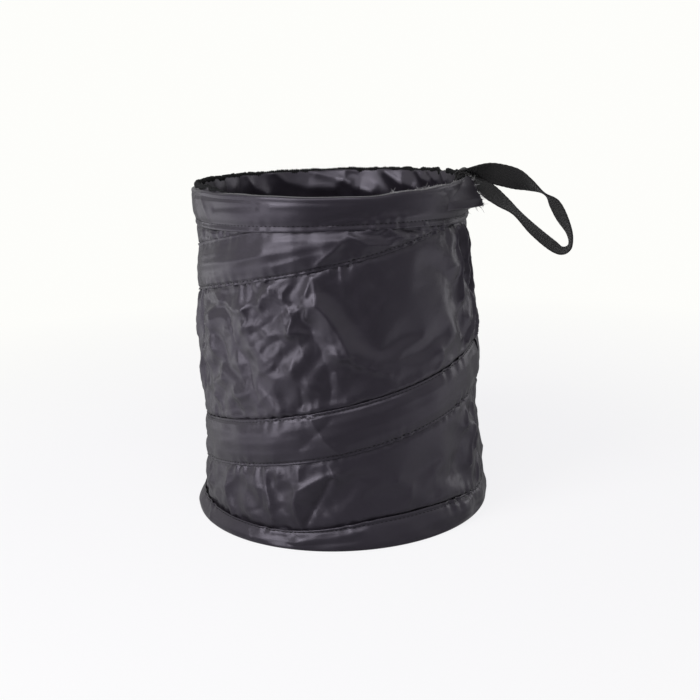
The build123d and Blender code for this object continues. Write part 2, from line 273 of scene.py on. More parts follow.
@dataclass(frozen=True)
class BinForm:
    """Main sizes of the bin, and how far its real cloth strays from a true cone.

    Attributes:
        height: floor to the fold of the top band.
        base_radius: wall's outer radius at the floor.
        top_radius: wall's outer radius at the fold of the top band.
        seam_angle: direction of the side seam from +X.
        band_foot: lower edge of the top band.
        hem_head: upper edge of the bottom band.
        spiral_foot: height of the spiral wire's middle at its start.
        spiral_start: start of the spiral wire, past the side seam.
        spiral_pitch: climb of the spiral in one turn.
        spiral_turns: turns of the spiral wire.
        spiral_sag: how far the lower and the upper turn sag at the front.
        casing_half: half of a casing strip's height on the wall.
        front: direction that faces the photograph's camera, past the side seam.
        hoop_z: height of the top hoop's middle before the rim sags.
    """

    height: float = 194.0
    base_radius: float = 85.0
    top_radius: float = 80.0
    seam_angle: float = -15.0
    band_foot: float = 174.0
    hem_head: float = 14.0
    spiral_foot: float = 5.7
    spiral_start: float = 59.5
    spiral_pitch: float = 102.18
    spiral_turns: float = 1.79
    spiral_sag: tuple[float, float] = (3.2, 2.2)
    casing_half: float = 13.6
    front: float = 285.0
    hoop_z: float = 191.6

    @property
    def mean_radius(self) -> float:
        """Radius at which the wall is unrolled."""
        return (self.base_radius + self.top_radius) / 2

    def cone(self, z: Array) -> Array:
        """Outer radius of the true leaning wall at a height."""
        return self.base_radius + (self.top_radius - self.base_radius) * z / self.height

    def stray(self, angle: Array, z: Array) -> Array:
        """How far the slack bin stands out from the true cone.

        Its left side is drawn in a little at mid height and its right side bulges low down. Each
        side has its own stations up the wall, weighted by how squarely that side is faced.

        Args:
            angle: degrees past the seam.
            z: height.

        Returns:
            Distance out from the cone in millimetres.
        """
        left = np.interp(z, *np.array(LEFT_STRAY).T)
        right = np.interp(z, *np.array(RIGHT_STRAY).T)
        way = np.radians(angle + self.seam_angle)
        on_left = np.clip(-np.cos(way), 0, 1) ** 1.5
        on_right = np.clip(np.cos(way), 0, 1) ** 1.5
        return left * on_left + right * on_right

    def wall(self, angle: Array, z: Array) -> Array:
        """Outer radius of the slack wall before its crumples."""
        return self.cone(z) + self.stray(angle, z)

    def spiral(self, angle: Array, turn: Turn) -> Array:
        """Height of the spiral's middle: a straight climb with the angle, sagging a little at the front.

        Args:
            angle: degrees past the seam, from 0 to 360.
            turn: which turn of the spiral.

        Returns:
            Height.
        """
        sag = self.spiral_sag[turn.value] * np.cos(np.radians(apart(angle, self.front) / 2)) ** 4
        climb = self.spiral_pitch * (angle - self.spiral_start + TURN * turn.value) / TURN
        return self.spiral_foot + climb - sag

    def hem_edge(self, angle: Array) -> Array:
        """Height of the bottom band's sewn edge, low at the front left and high at the front right."""
        return HEM_COURSE(angle)

    def band_edge(self, angle: Array) -> Array:
        """Height of the top band's sewn edge, lowest beside the side seam."""
        raised = self.band_foot + 0.8 * hump(angle, self.front, 30)
        return raised - 0.6 * hump(angle, 215, 30) - 2.2 * hump(angle, 350, 22)

    def tuck(self, angle: Array) -> Array:
        """How far the overlocked edge is turned down inside the rim: fully so along the front."""
        return smooth(226.0, 242.0, angle) * smooth(353.0, 340.0, angle)

    def rim_sag(self, angle: Array) -> Array:
        """How far the rim hangs down, at the front most."""
        return 2.2 * hump(angle, self.front + 4, 30)

    def pouch(self, angle: Array) -> Array:
        """How far the loose cloth hangs into the bin below the rim, at the back most."""
        return 1.8 * hump(angle, self.front - TURN / 2, 62)

    def place(self, angle: Array, radius: Array, z: Array) -> Array:
        """Points at an angle, a radius and a height.

        Args:
            angle: degrees past the seam.
            radius: distance from the bin's axis.
            z: height.

        Returns:
            Places, with a last axis of three.
        """
        way = np.radians(angle + self.seam_angle)
        angle, radius, z = np.broadcast_arrays(angle, radius, z)
        return np.stack([radius * np.cos(way), radius * np.sin(way), z], axis=-1)


FORM = BinForm()


class MeshKit:
    """Gathers grids of quads and puts them into one mesh."""

    def __init__(self) -> None:
        """Start with no points."""
        self.points: list[Array] = []
        self.faces: list[Array] = []
        self.uvs: list[Array] = []
        self.count = 0

    def add(self, points: Array, faces: Array, uv: Optional[Array] = None) -> None:
        """Add loose points with their quads.

        Args:
            points: places in millimetres, (n, 3).
            faces: four indices a quad, (m, 4).
            uv: place of each point on the cloth in millimetres, (n, 2).
        """
        flat = points.reshape(-1, 3)
        self.points.append(flat)
        self.faces.append(faces.reshape(-1, 4) + self.count)
        self.uvs.append(np.zeros((len(flat), 2)) if uv is None else uv.reshape(-1, 2))
        self.count += len(flat)

    def add_grid(self, points: Array, wrap_u: bool, wrap_v: bool, uv: Optional[Array] = None) -> "MeshKit":
        """Add a grid of points joined by quads that face along u cross v.

        Args:
            points: grid of places, (nu, nv, 3).
            wrap_u: whether the last row joins the first.
            wrap_v: whether the last column joins the first.
            uv: place of each point on the cloth, (nu, nv, 2).
        """
        nu, nv = points.shape[:2]
        i = np.arange(nu if wrap_u else nu - 1)[:, None]
        j = np.arange(nv if wrap_v else nv - 1)[None, :]
        after_i = (i + 1) % nu
        after_j = (j + 1) % nv
        corners = [i * nv + j, after_i * nv + j, after_i * nv + after_j, i * nv + after_j]
        faces = np.stack(np.broadcast_arrays(*corners), axis=-1)
        self.add(points, faces, uv)
        return self

    def add_tube(self, points: Array, uv: Optional[Array] = None) -> "MeshKit":
        """Add a closed profile carried along an open path, with its two ends closed.

        Args:
            points: profiles one after another, (nu, nv, 3), with an even number of points each.
            uv: place of each point on the cloth, (nu, nv, 2).
        """
        nu, nv = points.shape[:2]
        first = self.count
        self.add_grid(points, False, True, uv)
        k = np.arange(nv // 2 - 1)
        cap = np.stack([k, k + 1, nv - 2 - k, nv - 1 - k], axis=-1)
        ends = np.concatenate([cap, (nu - 1) * nv + cap[:, ::-1]])
        self.faces.append(ends + first)
        return self

    def add_spindles(self, rings: Array) -> "MeshKit":
        """Add many short closed tubes at once.

        Args:
            rings: rings of points along each tube, (tubes, rings, points, 3), an even number in a ring.
        """
        total, rows, around = rings.shape[:3]
        i = np.arange(rows - 1)[:, None] * around
        j = np.arange(around)[None, :]
        after = (j + 1) % around
        quads = np.stack(np.broadcast_arrays(i + j, i + after, i + around + after, i + around + j), axis=-1)
        k = np.arange(around // 2 - 1)
        near = np.stack([k, around - 1 - k, around - 2 - k, k + 1], axis=-1)
        far = near[:, ::-1] + (rows - 1) * around
        one = np.concatenate([quads.reshape(-1, 4), near, far])
        faces = one[None] + (np.arange(total) * rows * around)[:, None, None]
        self.add(rings, faces)
        return self

    def build(self, name: str, material: bpy.types.Material) -> bpy.types.Object:
        """Make the object, in metres, smooth shaded, with its UV map.

        Args:
            name: the piece's name.
            material: its material.

        Returns:
            The object, linked to the scene.
        """
        points = np.concatenate(self.points) * MM
        faces = np.concatenate(self.faces).astype(np.int32)
        mesh = bpy.data.meshes.new(name)
        mesh.vertices.add(len(points))
        mesh.vertices.foreach_set("co", points.astype(np.float32).ravel())
        mesh.loops.add(faces.size)
        mesh.loops.foreach_set("vertex_index", faces.ravel())
        mesh.polygons.add(len(faces))
        mesh.polygons.foreach_set("loop_start", np.arange(0, faces.size, 4, dtype=np.int32))
        mesh.polygons.foreach_set("use_smooth", np.ones(len(faces), dtype=bool))
        layer = mesh.uv_layers.new(name="cloth")
        places = np.concatenate(self.uvs)[faces.ravel()]
        layer.data.foreach_set("uv", places.astype(np.float32).ravel() * MM)
        mesh.update(calc_edges=True)
        mesh.validate()
        mesh.materials.append(material)
        piece = bpy.data.objects.new(name, mesh)
        bpy.context.scene.collection.objects.link(piece)
        return piece


def finish_piece(piece: bpy.types.Object, body: Body, slot: Slot, *nodes: str) -> None:
    """Set a piece on its body and hide the nodes that it stands for.

    Args:
        piece: the finished object.
        body: body that carries it.
        slot: material slot of the record; not used.
        nodes: nodes of the frame that it replaces.
    """
    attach(piece, body.value)
    if nodes:
        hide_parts(*nodes)
    LOG.info("%s: %d faces on %s", piece.name, len(piece.data.polygons), body.value)


def squash(piece: bpy.types.Object) -> None:
    """Give a cloth piece a copy of its mesh that it alone holds."""
    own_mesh(piece)


class Value:
    """A shader socket that Python operators work on, by adding Math nodes."""

    def __init__(self, book: "NodeBook", socket: bpy.types.NodeSocket) -> None:
        """Wrap an output socket of a node tree."""
        self.book = book
        self.socket = socket

    def _math(self, operation: str, *values: object) -> "Value":
        """Add a Math node on these values."""
        node = self.book.node("ShaderNodeMath", {"operation": operation}, dict(enumerate(values)))
        return Value(self.book, node.outputs[0])

    def __add__(self, other: object) -> "Value":
        """Sum."""
        return self._math("ADD", self, other)

    def __sub__(self, other: object) -> "Value":
        """Difference."""
        return self._math("SUBTRACT", self, other)

    def __rsub__(self, other: object) -> "Value":
        """Difference from a number."""
        return self._math("SUBTRACT", other, self)

    def __mul__(self, other: object) -> "Value":
        """Product."""
        return self._math("MULTIPLY", self, other)

    def sine(self) -> "Value":
        """Sine of a value in radians."""
        return self._math("SINE", self)

    def size(self) -> "Value":
        """Value without its sign."""
        return self._math("ABSOLUTE", self)

    def clamped(self) -> "Value":
        """Value held between 0 and 1."""
        return self._math("MINIMUM", self._math("MAXIMUM", self, 0.0), 1.0)


class NodeBook:
    """Node tree of one material or world, with short ways to add nodes."""

    def __init__(self, owner: bpy.types.ID, output: str = "ShaderNodeOutputMaterial") -> None:
        """Empty the owner's node tree and give it an output.

        Args:
            owner: a material or world.
            output: type of its output node.
        """
        owner.use_nodes = True
        self.owner = owner
        self.tree = owner.node_tree
        self.tree.nodes.clear()
        self.output = self.tree.nodes.new(output)

    def node(
        self, kind: str, settings: Optional[dict] = None, inputs: Optional[dict] = None
    ) -> bpy.types.Node:
        """Add a node.

        Args:
            kind: the node's type.
            settings: properties, set first.
            inputs: value, Value or shader node for each socket, by name or index.

        Returns:
            The node.
        """
        made = self.tree.nodes.new(kind)
        for key, value in (settings or {}).items():
            setattr(made, key, value)
        for key, value in (inputs or {}).items():
            if isinstance(value, bpy.types.Node):
                self.tree.links.new(value.outputs[0], made.inputs[key])
            elif isinstance(value, Value):
                self.tree.links.new(value.socket, made.inputs[key])
            else:
                made.inputs[key].default_value = value
        return made

    def value(self, node: bpy.types.Node, output: object = 0) -> Value:
        """Wrap one output of a node."""
        return Value(self, node.outputs[output])

    def noise(self, place: Value, scale: float, detail: float = 2.0, rough: float = 0.5) -> Value:
        """Noise from 0 to 1.

        Args:
            place: coordinates.
            scale: cells in a metre.
            detail: octaves.
            rough: weight of the finer octaves.

        Returns:
            The noise's factor.
        """
        made = self.node(
            "ShaderNodeTexNoise",
            inputs={"Vector": place, "Scale": scale, "Detail": detail, "Roughness": rough},
        )
        return self.value(made, "Fac")

    def mix(self, factor: Value, first: Sequence[float], second: Sequence[float]) -> Value:
        """Mix two colours.

        Args:
            factor: share of the second colour.
            first: colour at 0.
            second: colour at 1.

        Returns:
            The mixed colour.
        """
        made = self.node("ShaderNodeMix", {"data_type": "RGBA"}, {0: factor})
        made.inputs[6].default_value = (*first, 1.0)
        made.inputs[7].default_value = (*second, 1.0)
        return self.value(made, 2)

    def bump(
        self, height: Value, distance: float, strength: float = 1.0, normal: Optional[Value] = None
    ) -> Value:
        """Bump the surface.

        Args:
            height: height in units of distance.
            distance: the unit in metres.
            strength: share of the bump that shows.
            normal: another bump that it lies over.

        Returns:
            The normal.
        """
        inputs = {"Height": height, "Distance": distance, "Strength": strength}
        if normal is not None:
            inputs["Normal"] = normal
        return self.value(self.node("ShaderNodeBump", inputs=inputs))

    def coordinates(self, output: str) -> Value:
        """Texture coordinates of one kind, such as Object or UV."""
        return self.value(self.node("ShaderNodeTexCoord"), output)

    def parts(self, output: str) -> list[Value]:
        """The three numbers of texture coordinates of one kind."""
        made = self.node("ShaderNodeSeparateXYZ", inputs={0: self.coordinates(output)})
        return [self.value(made, k) for k in range(3)]

    def glow(
        self, colour: Sequence[float], strength: float, kind: str = "ShaderNodeEmission"
    ) -> bpy.types.Node:
        """Even light of one colour."""
        return self.node(kind, inputs={"Color": (*colour, 1.0), "Strength": strength})

    def blend(self, factor: Value, first: bpy.types.Node, second: bpy.types.Node) -> bpy.types.Node:
        """Mix two shaders by a factor."""
        return self.node("ShaderNodeMixShader", inputs={0: factor, 1: first, 2: second})

    def finish(self, shader: bpy.types.Node) -> bpy.types.ID:
        """Join the shader to the output and hand the material or world over."""
        self.tree.links.new(shader.outputs[0], self.output.inputs["Surface"])
        return self.owner


@dataclass(frozen=True)
class NylonFinish:
    """Thin woven nylon with a soft sheen.

    Attributes:
        name: the material's name.
        dark: colour of the cloth in its darker patches.
        light: colour in its lighter patches.
        roughness: least and most roughness over the cloth.
        weave: pitch of the weave in millimetres.
        crease: height of the fine creases in millimetres.
    """

    name: str
    dark: tuple[float, float, float] = (0.0115, 0.0096, 0.0138)
    light: tuple[float, float, float] = (0.0195, 0.0165, 0.0228)
    roughness: tuple[float, float] = (0.27, 0.38)
    weave: float = 0.5
    crease: float = 0.16

    def make(self) -> bpy.types.Material:
        """Build the material: weave and fine creases as bump, with patches of colour and roughness.

        Returns:
            The material.
        """
        book = NodeBook(bpy.data.materials.new(self.name))
        place = book.coordinates("Object")
        warp, weft, _ = book.parts("UV")
        turn = 2 * np.pi / (self.weave * MM)
        weave = (warp * turn).sine() * (weft * turn).sine()
        patches = book.noise(place, 28.0, 3.0)
        fine = book.noise(place, 210.0, 4.0, 0.6)
        creases = book.noise(place, 75.0, 3.0, 0.55)
        worn = book.bump(creases + fine * 0.35, self.crease * MM)
        normal = book.bump(weave, 0.02 * MM, 0.35, worn)
        low, high = self.roughness
        shader = book.node("ShaderNodeBsdfPrincipled", inputs={
            "Base Color": book.mix(patches, self.dark, self.light),
            "Roughness": patches * (low - high) * 0.6 + fine * (high - low) * 0.6 + (low + high) / 2,
            "Normal": normal,
            "Specular IOR Level": 0.5,
            "Specular Tint": (0.9, 0.84, 1.0, 1.0),
            "Sheen Weight": 0.06,
            "Sheen Roughness": 0.4,
        })
        return book.finish(shader)


@dataclass(frozen=True)
class YarnFinish:
    """Matte spun thread or webbing.

    Attributes:
        name: the material's name.
        dark: colour in the hollows between the yarns, which is painted shade.
        light: colour on the yarns' crests, painted lighter than the hollows.
        pitch: pitch of the yarns along and across, in millimetres.
        depth: depth between yarns in millimetres.
        sheen: how much light its loose fibres catch.
    """

    name: str
    dark: tuple[float, float, float]
    light: tuple[float, float, float]
    pitch: tuple[float, float] = (1.0, 1.0)
    depth: float = 0.12
    sheen: float = 0.04

    def make(self) -> bpy.types.Material:
        """Build the material: crossing yarns along the UV map, with fibre noise, and shade painted into the
        hollows between the yarns.

        Returns:
            The material.
        """
        book = NodeBook(bpy.data.materials.new(self.name))
        place = book.coordinates("Object")
        along, across, _ = book.parts("UV")
        along = (along * (2 * np.pi / (self.pitch[0] * MM))).sine()
        across = (across * (2 * np.pi / (self.pitch[1] * MM))).sine()
        yarns = along * across * 0.5 + 0.5
        fibres = book.noise(place, 1500.0, 2.0)
        shader = book.node("ShaderNodeBsdfPrincipled", inputs={
            # Base colour: painted shade in the hollows between the yarns, plus tone that varies at random
            # along the fibres.
            "Base Color": book.mix((yarns * 0.6 + fibres * 0.4).clamped(), self.dark, self.light),
            "Roughness": 0.95 - fibres * 0.15,
            "Normal": book.bump(yarns + fibres * 0.5, self.depth * MM, 0.8),
            "Specular IOR Level": 0.2,
            "Sheen Weight": self.sheen,
            "Sheen Roughness": 0.5,
        })
        return book.finish(shader)


@dataclass(frozen=True)
class MetalFinish:
    """Bright wire or crimped sleeve.

    Attributes:
        name: the material's name.
        colour: colour of the clean metal.
        roughness: least and most roughness.
    """

    name: str
    colour: tuple[float, float, float]
    roughness: tuple[float, float]

    def make(self) -> bpy.types.Material:
        """Build the material: drawn metal with faint streaks and dull patches.

        Returns:
            The material.
        """
        book = NodeBook(bpy.data.materials.new(self.name))
        place = book.coordinates("Object")
        patches = book.noise(place, 60.0, 3.0)
        streaks = book.noise(place, 900.0, 2.0)
        low, high = self.roughness
        dull = tuple(0.7 * part for part in self.colour)
        shader = book.node("ShaderNodeBsdfPrincipled", inputs={
            "Base Color": book.mix(patches, dull, self.colour),
            "Metallic": 1.0,
            "Roughness": patches * (high - low) + low,
            "Normal": book.bump(streaks, 0.02 * MM, 0.5),
        })
        return book.finish(shader)


class Finishes:
    """Every material of the bin, made once."""

    def __init__(self) -> None:
        """Make the materials."""
        self.panel = NylonFinish("panel nylon").make()
        self.band = NylonFinish("band nylon", crease=0.14).make()
        self.casing = NylonFinish("casing nylon", crease=0.15).make()
        black = YarnFinish("thread", (0.003, 0.003, 0.0035), (0.011, 0.011, 0.012), (0.8, 0.8), 0.1)
        self.thread = black.make()
        pale = YarnFinish("frayed thread", (0.2, 0.19, 0.2), (0.45, 0.44, 0.45), (0.8, 0.8), 0.05)
        self.fray = pale.make()
        tape = YarnFinish("webbing", (0.005, 0.005, 0.005), (0.02, 0.019, 0.02), (1.6, 1.1), 0.2, 0.16)
        self.webbing = tape.make()
        self.steel = MetalFinish("spring steel", (0.42, 0.42, 0.43), (0.25, 0.4)).make()
        self.sleeve = MetalFinish("sleeve metal", (0.62, 0.62, 0.63), (0.3, 0.5)).make()


@dataclass
class Piece:
    """A piece of the bin, or a few pieces of one kind.

    Attributes:
        finishes: the materials.
    """

    finishes: Finishes


def catmull(points: Array, share: Array) -> Array:
    """Smooth curve through points: a cubic with the slope of its neighbours' chord at each point.

    Args:
        points: stations, (n, k).
        share: where the curve is read, in stations from 0 to n - 1.

    Returns:
        Samples, (len(share), k).
    """
    stations = np.concatenate([2 * points[:1] - points[1:2], points, 2 * points[-1:] - points[-2:-1]])
    i = np.clip(share.astype(int), 0, len(points) - 2)
    t = (share - i)[:, None]
    before, start, end, after = (stations[i + k] for k in range(4))
    slope_in = (end - before) / 2
    slope_out = (after - start) / 2
    jump = end - start
    square = 3 * jump - 2 * slope_in - slope_out
    cube = slope_in + slope_out - 2 * jump
    return start + t * (slope_in + t * (square + t * cube))


def along_profile(profile: tuple, share: Array, samples: int) -> tuple[Array, Array]:
    """Distance out and height along a closed section that is smoothed at its stations.

    Args:
        profile: stations as (distance out, height).
        share: place along the stations, from 0 to 1.
        samples: samples of the smoothed section.

    Returns:
        Distance out and height, with the shape of share.
    """
    closed = np.array(profile + profile[:1])
    fine = catmull(closed, np.linspace(0, len(closed) - 1, samples))
    step = np.linspace(0, 1, len(fine))
    return np.interp(share, step, fine[:, 0]), np.interp(share, step, fine[:, 1])


def resample(grid: Array, rounds: Array, nv: int) -> Array:
    """Finer grid through a grid that closes on itself along u: cubic along both ways.

    Args:
        grid: places, (mu, mv, 3).
        rounds: where it is read round the bin, in turns from 0 to 1.
        nv: samples up.

    Returns:
        Places, (len(rounds), nv, 3).
    """
    mu, mv = grid.shape[:2]
    margin = 2
    rows = np.concatenate([grid[-margin:], grid, grid[:margin + 1]])
    round_it = catmull(rows.reshape(len(rows), -1), rounds * mu + margin).reshape(-1, mv, 3)
    up = catmull(round_it.transpose(1, 0, 2).reshape(mv, -1), np.linspace(0, mv - 1, nv))
    return up.reshape(nv, -1, 3).transpose(1, 0, 2)


FRONT_FOLDS = (
    (2.2, ((276, 154), (279, 137), (289, 112), (299, 104))),
    (-1.8, ((284, 142), (294, 121))),
    (1.6, ((248, 141), (247, 126), (252, 114))),
    (1.6, ((271, 150), (275, 137), (268, 124))),
    (1.4, ((255, 108), (266, 100), (272, 90))),
    (1.6, ((225, 126), (227, 110), (222, 99))),
    (1.4, ((226, 82), (234, 95))),
    (1.2, ((337, 112), (326, 100))),
    (1.8, ((353, 168), (353, 144), (346, 105))),
    (-1.6, ((262, 40), (263, 20))),
    (1.8, ((276, 40), (267, 26), (271, 14))),
    (-1.6, ((290, 40), (278, 18))),
    (1.6, ((349, 54), (356, 40), (351, 18))),
)


@dataclass(frozen=True)
class MainFolds:
    """Main folds of the slack wall: leaning ones round the sides and the back, and the front's own.

    Attributes:
        height: from valley to crest.
        pitch: from crest to crest.
        lean: lean of the crests from upright.
        sway: how far a crest sways to either side as it climbs.
        sway_rise: climb of one sway.
        margin: flat cloth beside a sewn line.
        fade: distance over which the folds then grow to their height.
        front: first and last angle of the part with folds of its own.
        blend: angle over which the other folds die out there.
        width: distance from a front fold's crest at which it has fallen to about a third.
    """

    height: float = 3.0
    pitch: float = 28.0
    lean: float = 25.0
    sway: float = 4.0
    sway_rise: float = 70.0
    margin: float = 4.0
    fade: float = 12.0
    front: tuple[float, float] = (215.0, 345.0)
    blend: float = 20.0
    width: float = 6.0

    def room(self, angle: Array, z: Array) -> Array:
        """Share of its height that a fold has: none at the sewn lines.

        Args:
            angle: degrees past the seam.
            z: height.

        Returns:
            Share from 0 to 1.
        """
        gaps = [z - FORM.hem_edge(angle), FORM.band_edge(angle) - z]
        gaps += [np.abs(z - FORM.spiral(angle, turn)) - FORM.casing_half for turn in Turn]
        gaps.append(np.abs(np.radians(apart(angle, 0))) * FORM.mean_radius - self.margin)
        return smooth(0.0, 1.0, (np.minimum.reduce(gaps) - self.margin) / self.fade)

    def __call__(self, angle: Array, z: Array) -> Array:
        """Lift of the folds: cosine waves across their lean, and bell curves about the front's routes.

        Args:
            angle: degrees past the seam.
            z: height.

        Returns:
            Lift.
        """
        arc = np.radians(angle) * FORM.cone(z) + self.sway * np.sin(2 * np.pi * z / self.sway_rise)
        lean = np.radians(self.lean)
        wave = np.cos(2 * np.pi * (arc * np.cos(lean) + z * np.sin(lean)) / self.pitch)
        first, last = self.front
        rest = 1 - smooth(first, first + self.blend, angle) * smooth(last, last - self.blend, angle)
        lift = rest * wave * self.height / 2
        for height, route in FRONT_FOLDS:
            lift = lift + Fold(route, height, self.width, True).lift(angle, z, FORM.mean_radius)
        return lift * self.room(angle, z)


WALL_CREASES = (
    Fold(((277, 152), (278, 144), (278, 137), (282, 131), (285, 123), (287, 116), (289, 110)), 1.0, 2.0),
    Fold(((274, 142), (276, 152)), 0.8, 1.8),
    Fold(((258, 148), (260, 142), (265, 139), (265, 143), (268, 147)), 0.9, 1.8),
    Fold(((247, 132), (252, 136), (255, 135), (257, 141)), 0.8, 1.8),
    Fold(((248, 132), (249, 127), (247, 121)), 0.9, 1.8),
    Fold(((267, 134), (269, 130), (267, 122)), 0.9, 1.8),
    Fold(((270, 132), (273, 137), (275, 135), (274, 130)), 0.9, 1.6),
    Fold(((220, 124), (227, 118), (227, 110), (229, 106)), 0.9, 1.8),
    Fold(((225, 126), (233, 134), (229, 138)), 0.8, 1.8),
    Fold(((234, 135), (238, 134), (243, 131)), 0.7, 1.8),
    Fold(((250, 123), (254, 124), (259, 119), (264, 120)), 0.7, 2.0),
    Fold(((267, 120), (270, 123), (273, 120)), 0.6, 2.0),
    Fold(((211, 106), (222, 99)), 0.8, 2.0),
    Fold(((226, 86), (234, 91), (233, 95)), 0.8, 2.0),
    Fold(((227, 79), (231, 72)), 0.8, 1.8),
    Fold(((241, 85), (246, 74)), 0.6, 2.0),
    Fold(((271, 90), (271, 78)), -0.7, 2.0),
    Fold(((282, 90), (281, 79)), -0.7, 2.2),
    Fold(((282, 111), (288, 108), (295, 102), (304, 97)), 0.8, 2.0),
    Fold(((343.5, 169), (344, 146), (343, 130)), 1.3, 1.1),
    Fold(((351.5, 172), (351, 144), (352.5, 129), (351, 119), (345, 105)), 1.9, 1.0),
    Fold(((348, 169), (348.5, 142), (355, 128)), -1.4, 1.2),
    Fold(((354, 169), (353.5, 146), (354.5, 130)), -1.3, 0.9),
    Fold(((356.5, 171), (356, 146), (357, 122), (358, 110), (355, 102)), 1.7, 1.0),
    Fold(((332, 96), (347, 98)), 0.7, 2.0),
    Fold(((326, 94), (329, 101), (327, 106)), 0.7, 2.2),
    Fold(((255, 45), (255, 36), (257, 26), (258, 13)), 0.8, 1.8),
    Fold(((260, 46), (260, 35)), 0.5, 1.8),
    Fold(((269, 48), (269, 40)), 0.6, 1.8),
    Fold(((283, 44), (276, 40), (268, 34), (267, 27), (268, 19), (270, 12)), 1.0, 1.8),
    Fold(((281, 41), (278, 31), (274, 22), (271, 13)), -0.9, 2.0),
    Fold(((280, 51), (283, 41)), 0.9, 1.6),
    Fold(((244, 40), (246, 32)), 0.5, 2.0),
    Fold(((234, 36), (234, 22)), 0.6, 1.8),
    Fold(((349, 54), (344, 33)), 1.1, 1.2),
    Fold(((356, 40), (351, 18)), 1.3, 1.2),
    Fold(((345, 64), (343, 56)), 1.0, 1.2),
    Fold(((351.5, 66), (353, 52), (350, 40)), 1.2, 1.0),
    Fold(((354, 62), (357, 44), (354, 28)), -1.0, 1.4),
    Fold(((306, 36), (312, 33), (311, 26)), 0.5, 2.4),
    Fold(((211, 140), (210, 122), (212, 106), (210, 90), (211, 76)), -1.1, 1.6),
    Fold(((205, 142), (206, 124), (204, 108)), 0.9, 1.5),
    Fold(((216, 112), (215, 98), (217, 82)), 0.9, 1.6),
    Fold(((206, 98), (207, 84), (205, 72)), 0.8, 1.6),
    Fold(((209, 40), (211, 28), (209, 16)), -0.9, 1.6),
    Fold(((216, 42), (215, 30), (218, 18)), 0.8, 1.6),
)


class Slackness(Enum):
    """How much longer the wall's cloth is than the room that it is sewn into."""

    LEAST = 0.004
    MOST = 0.034


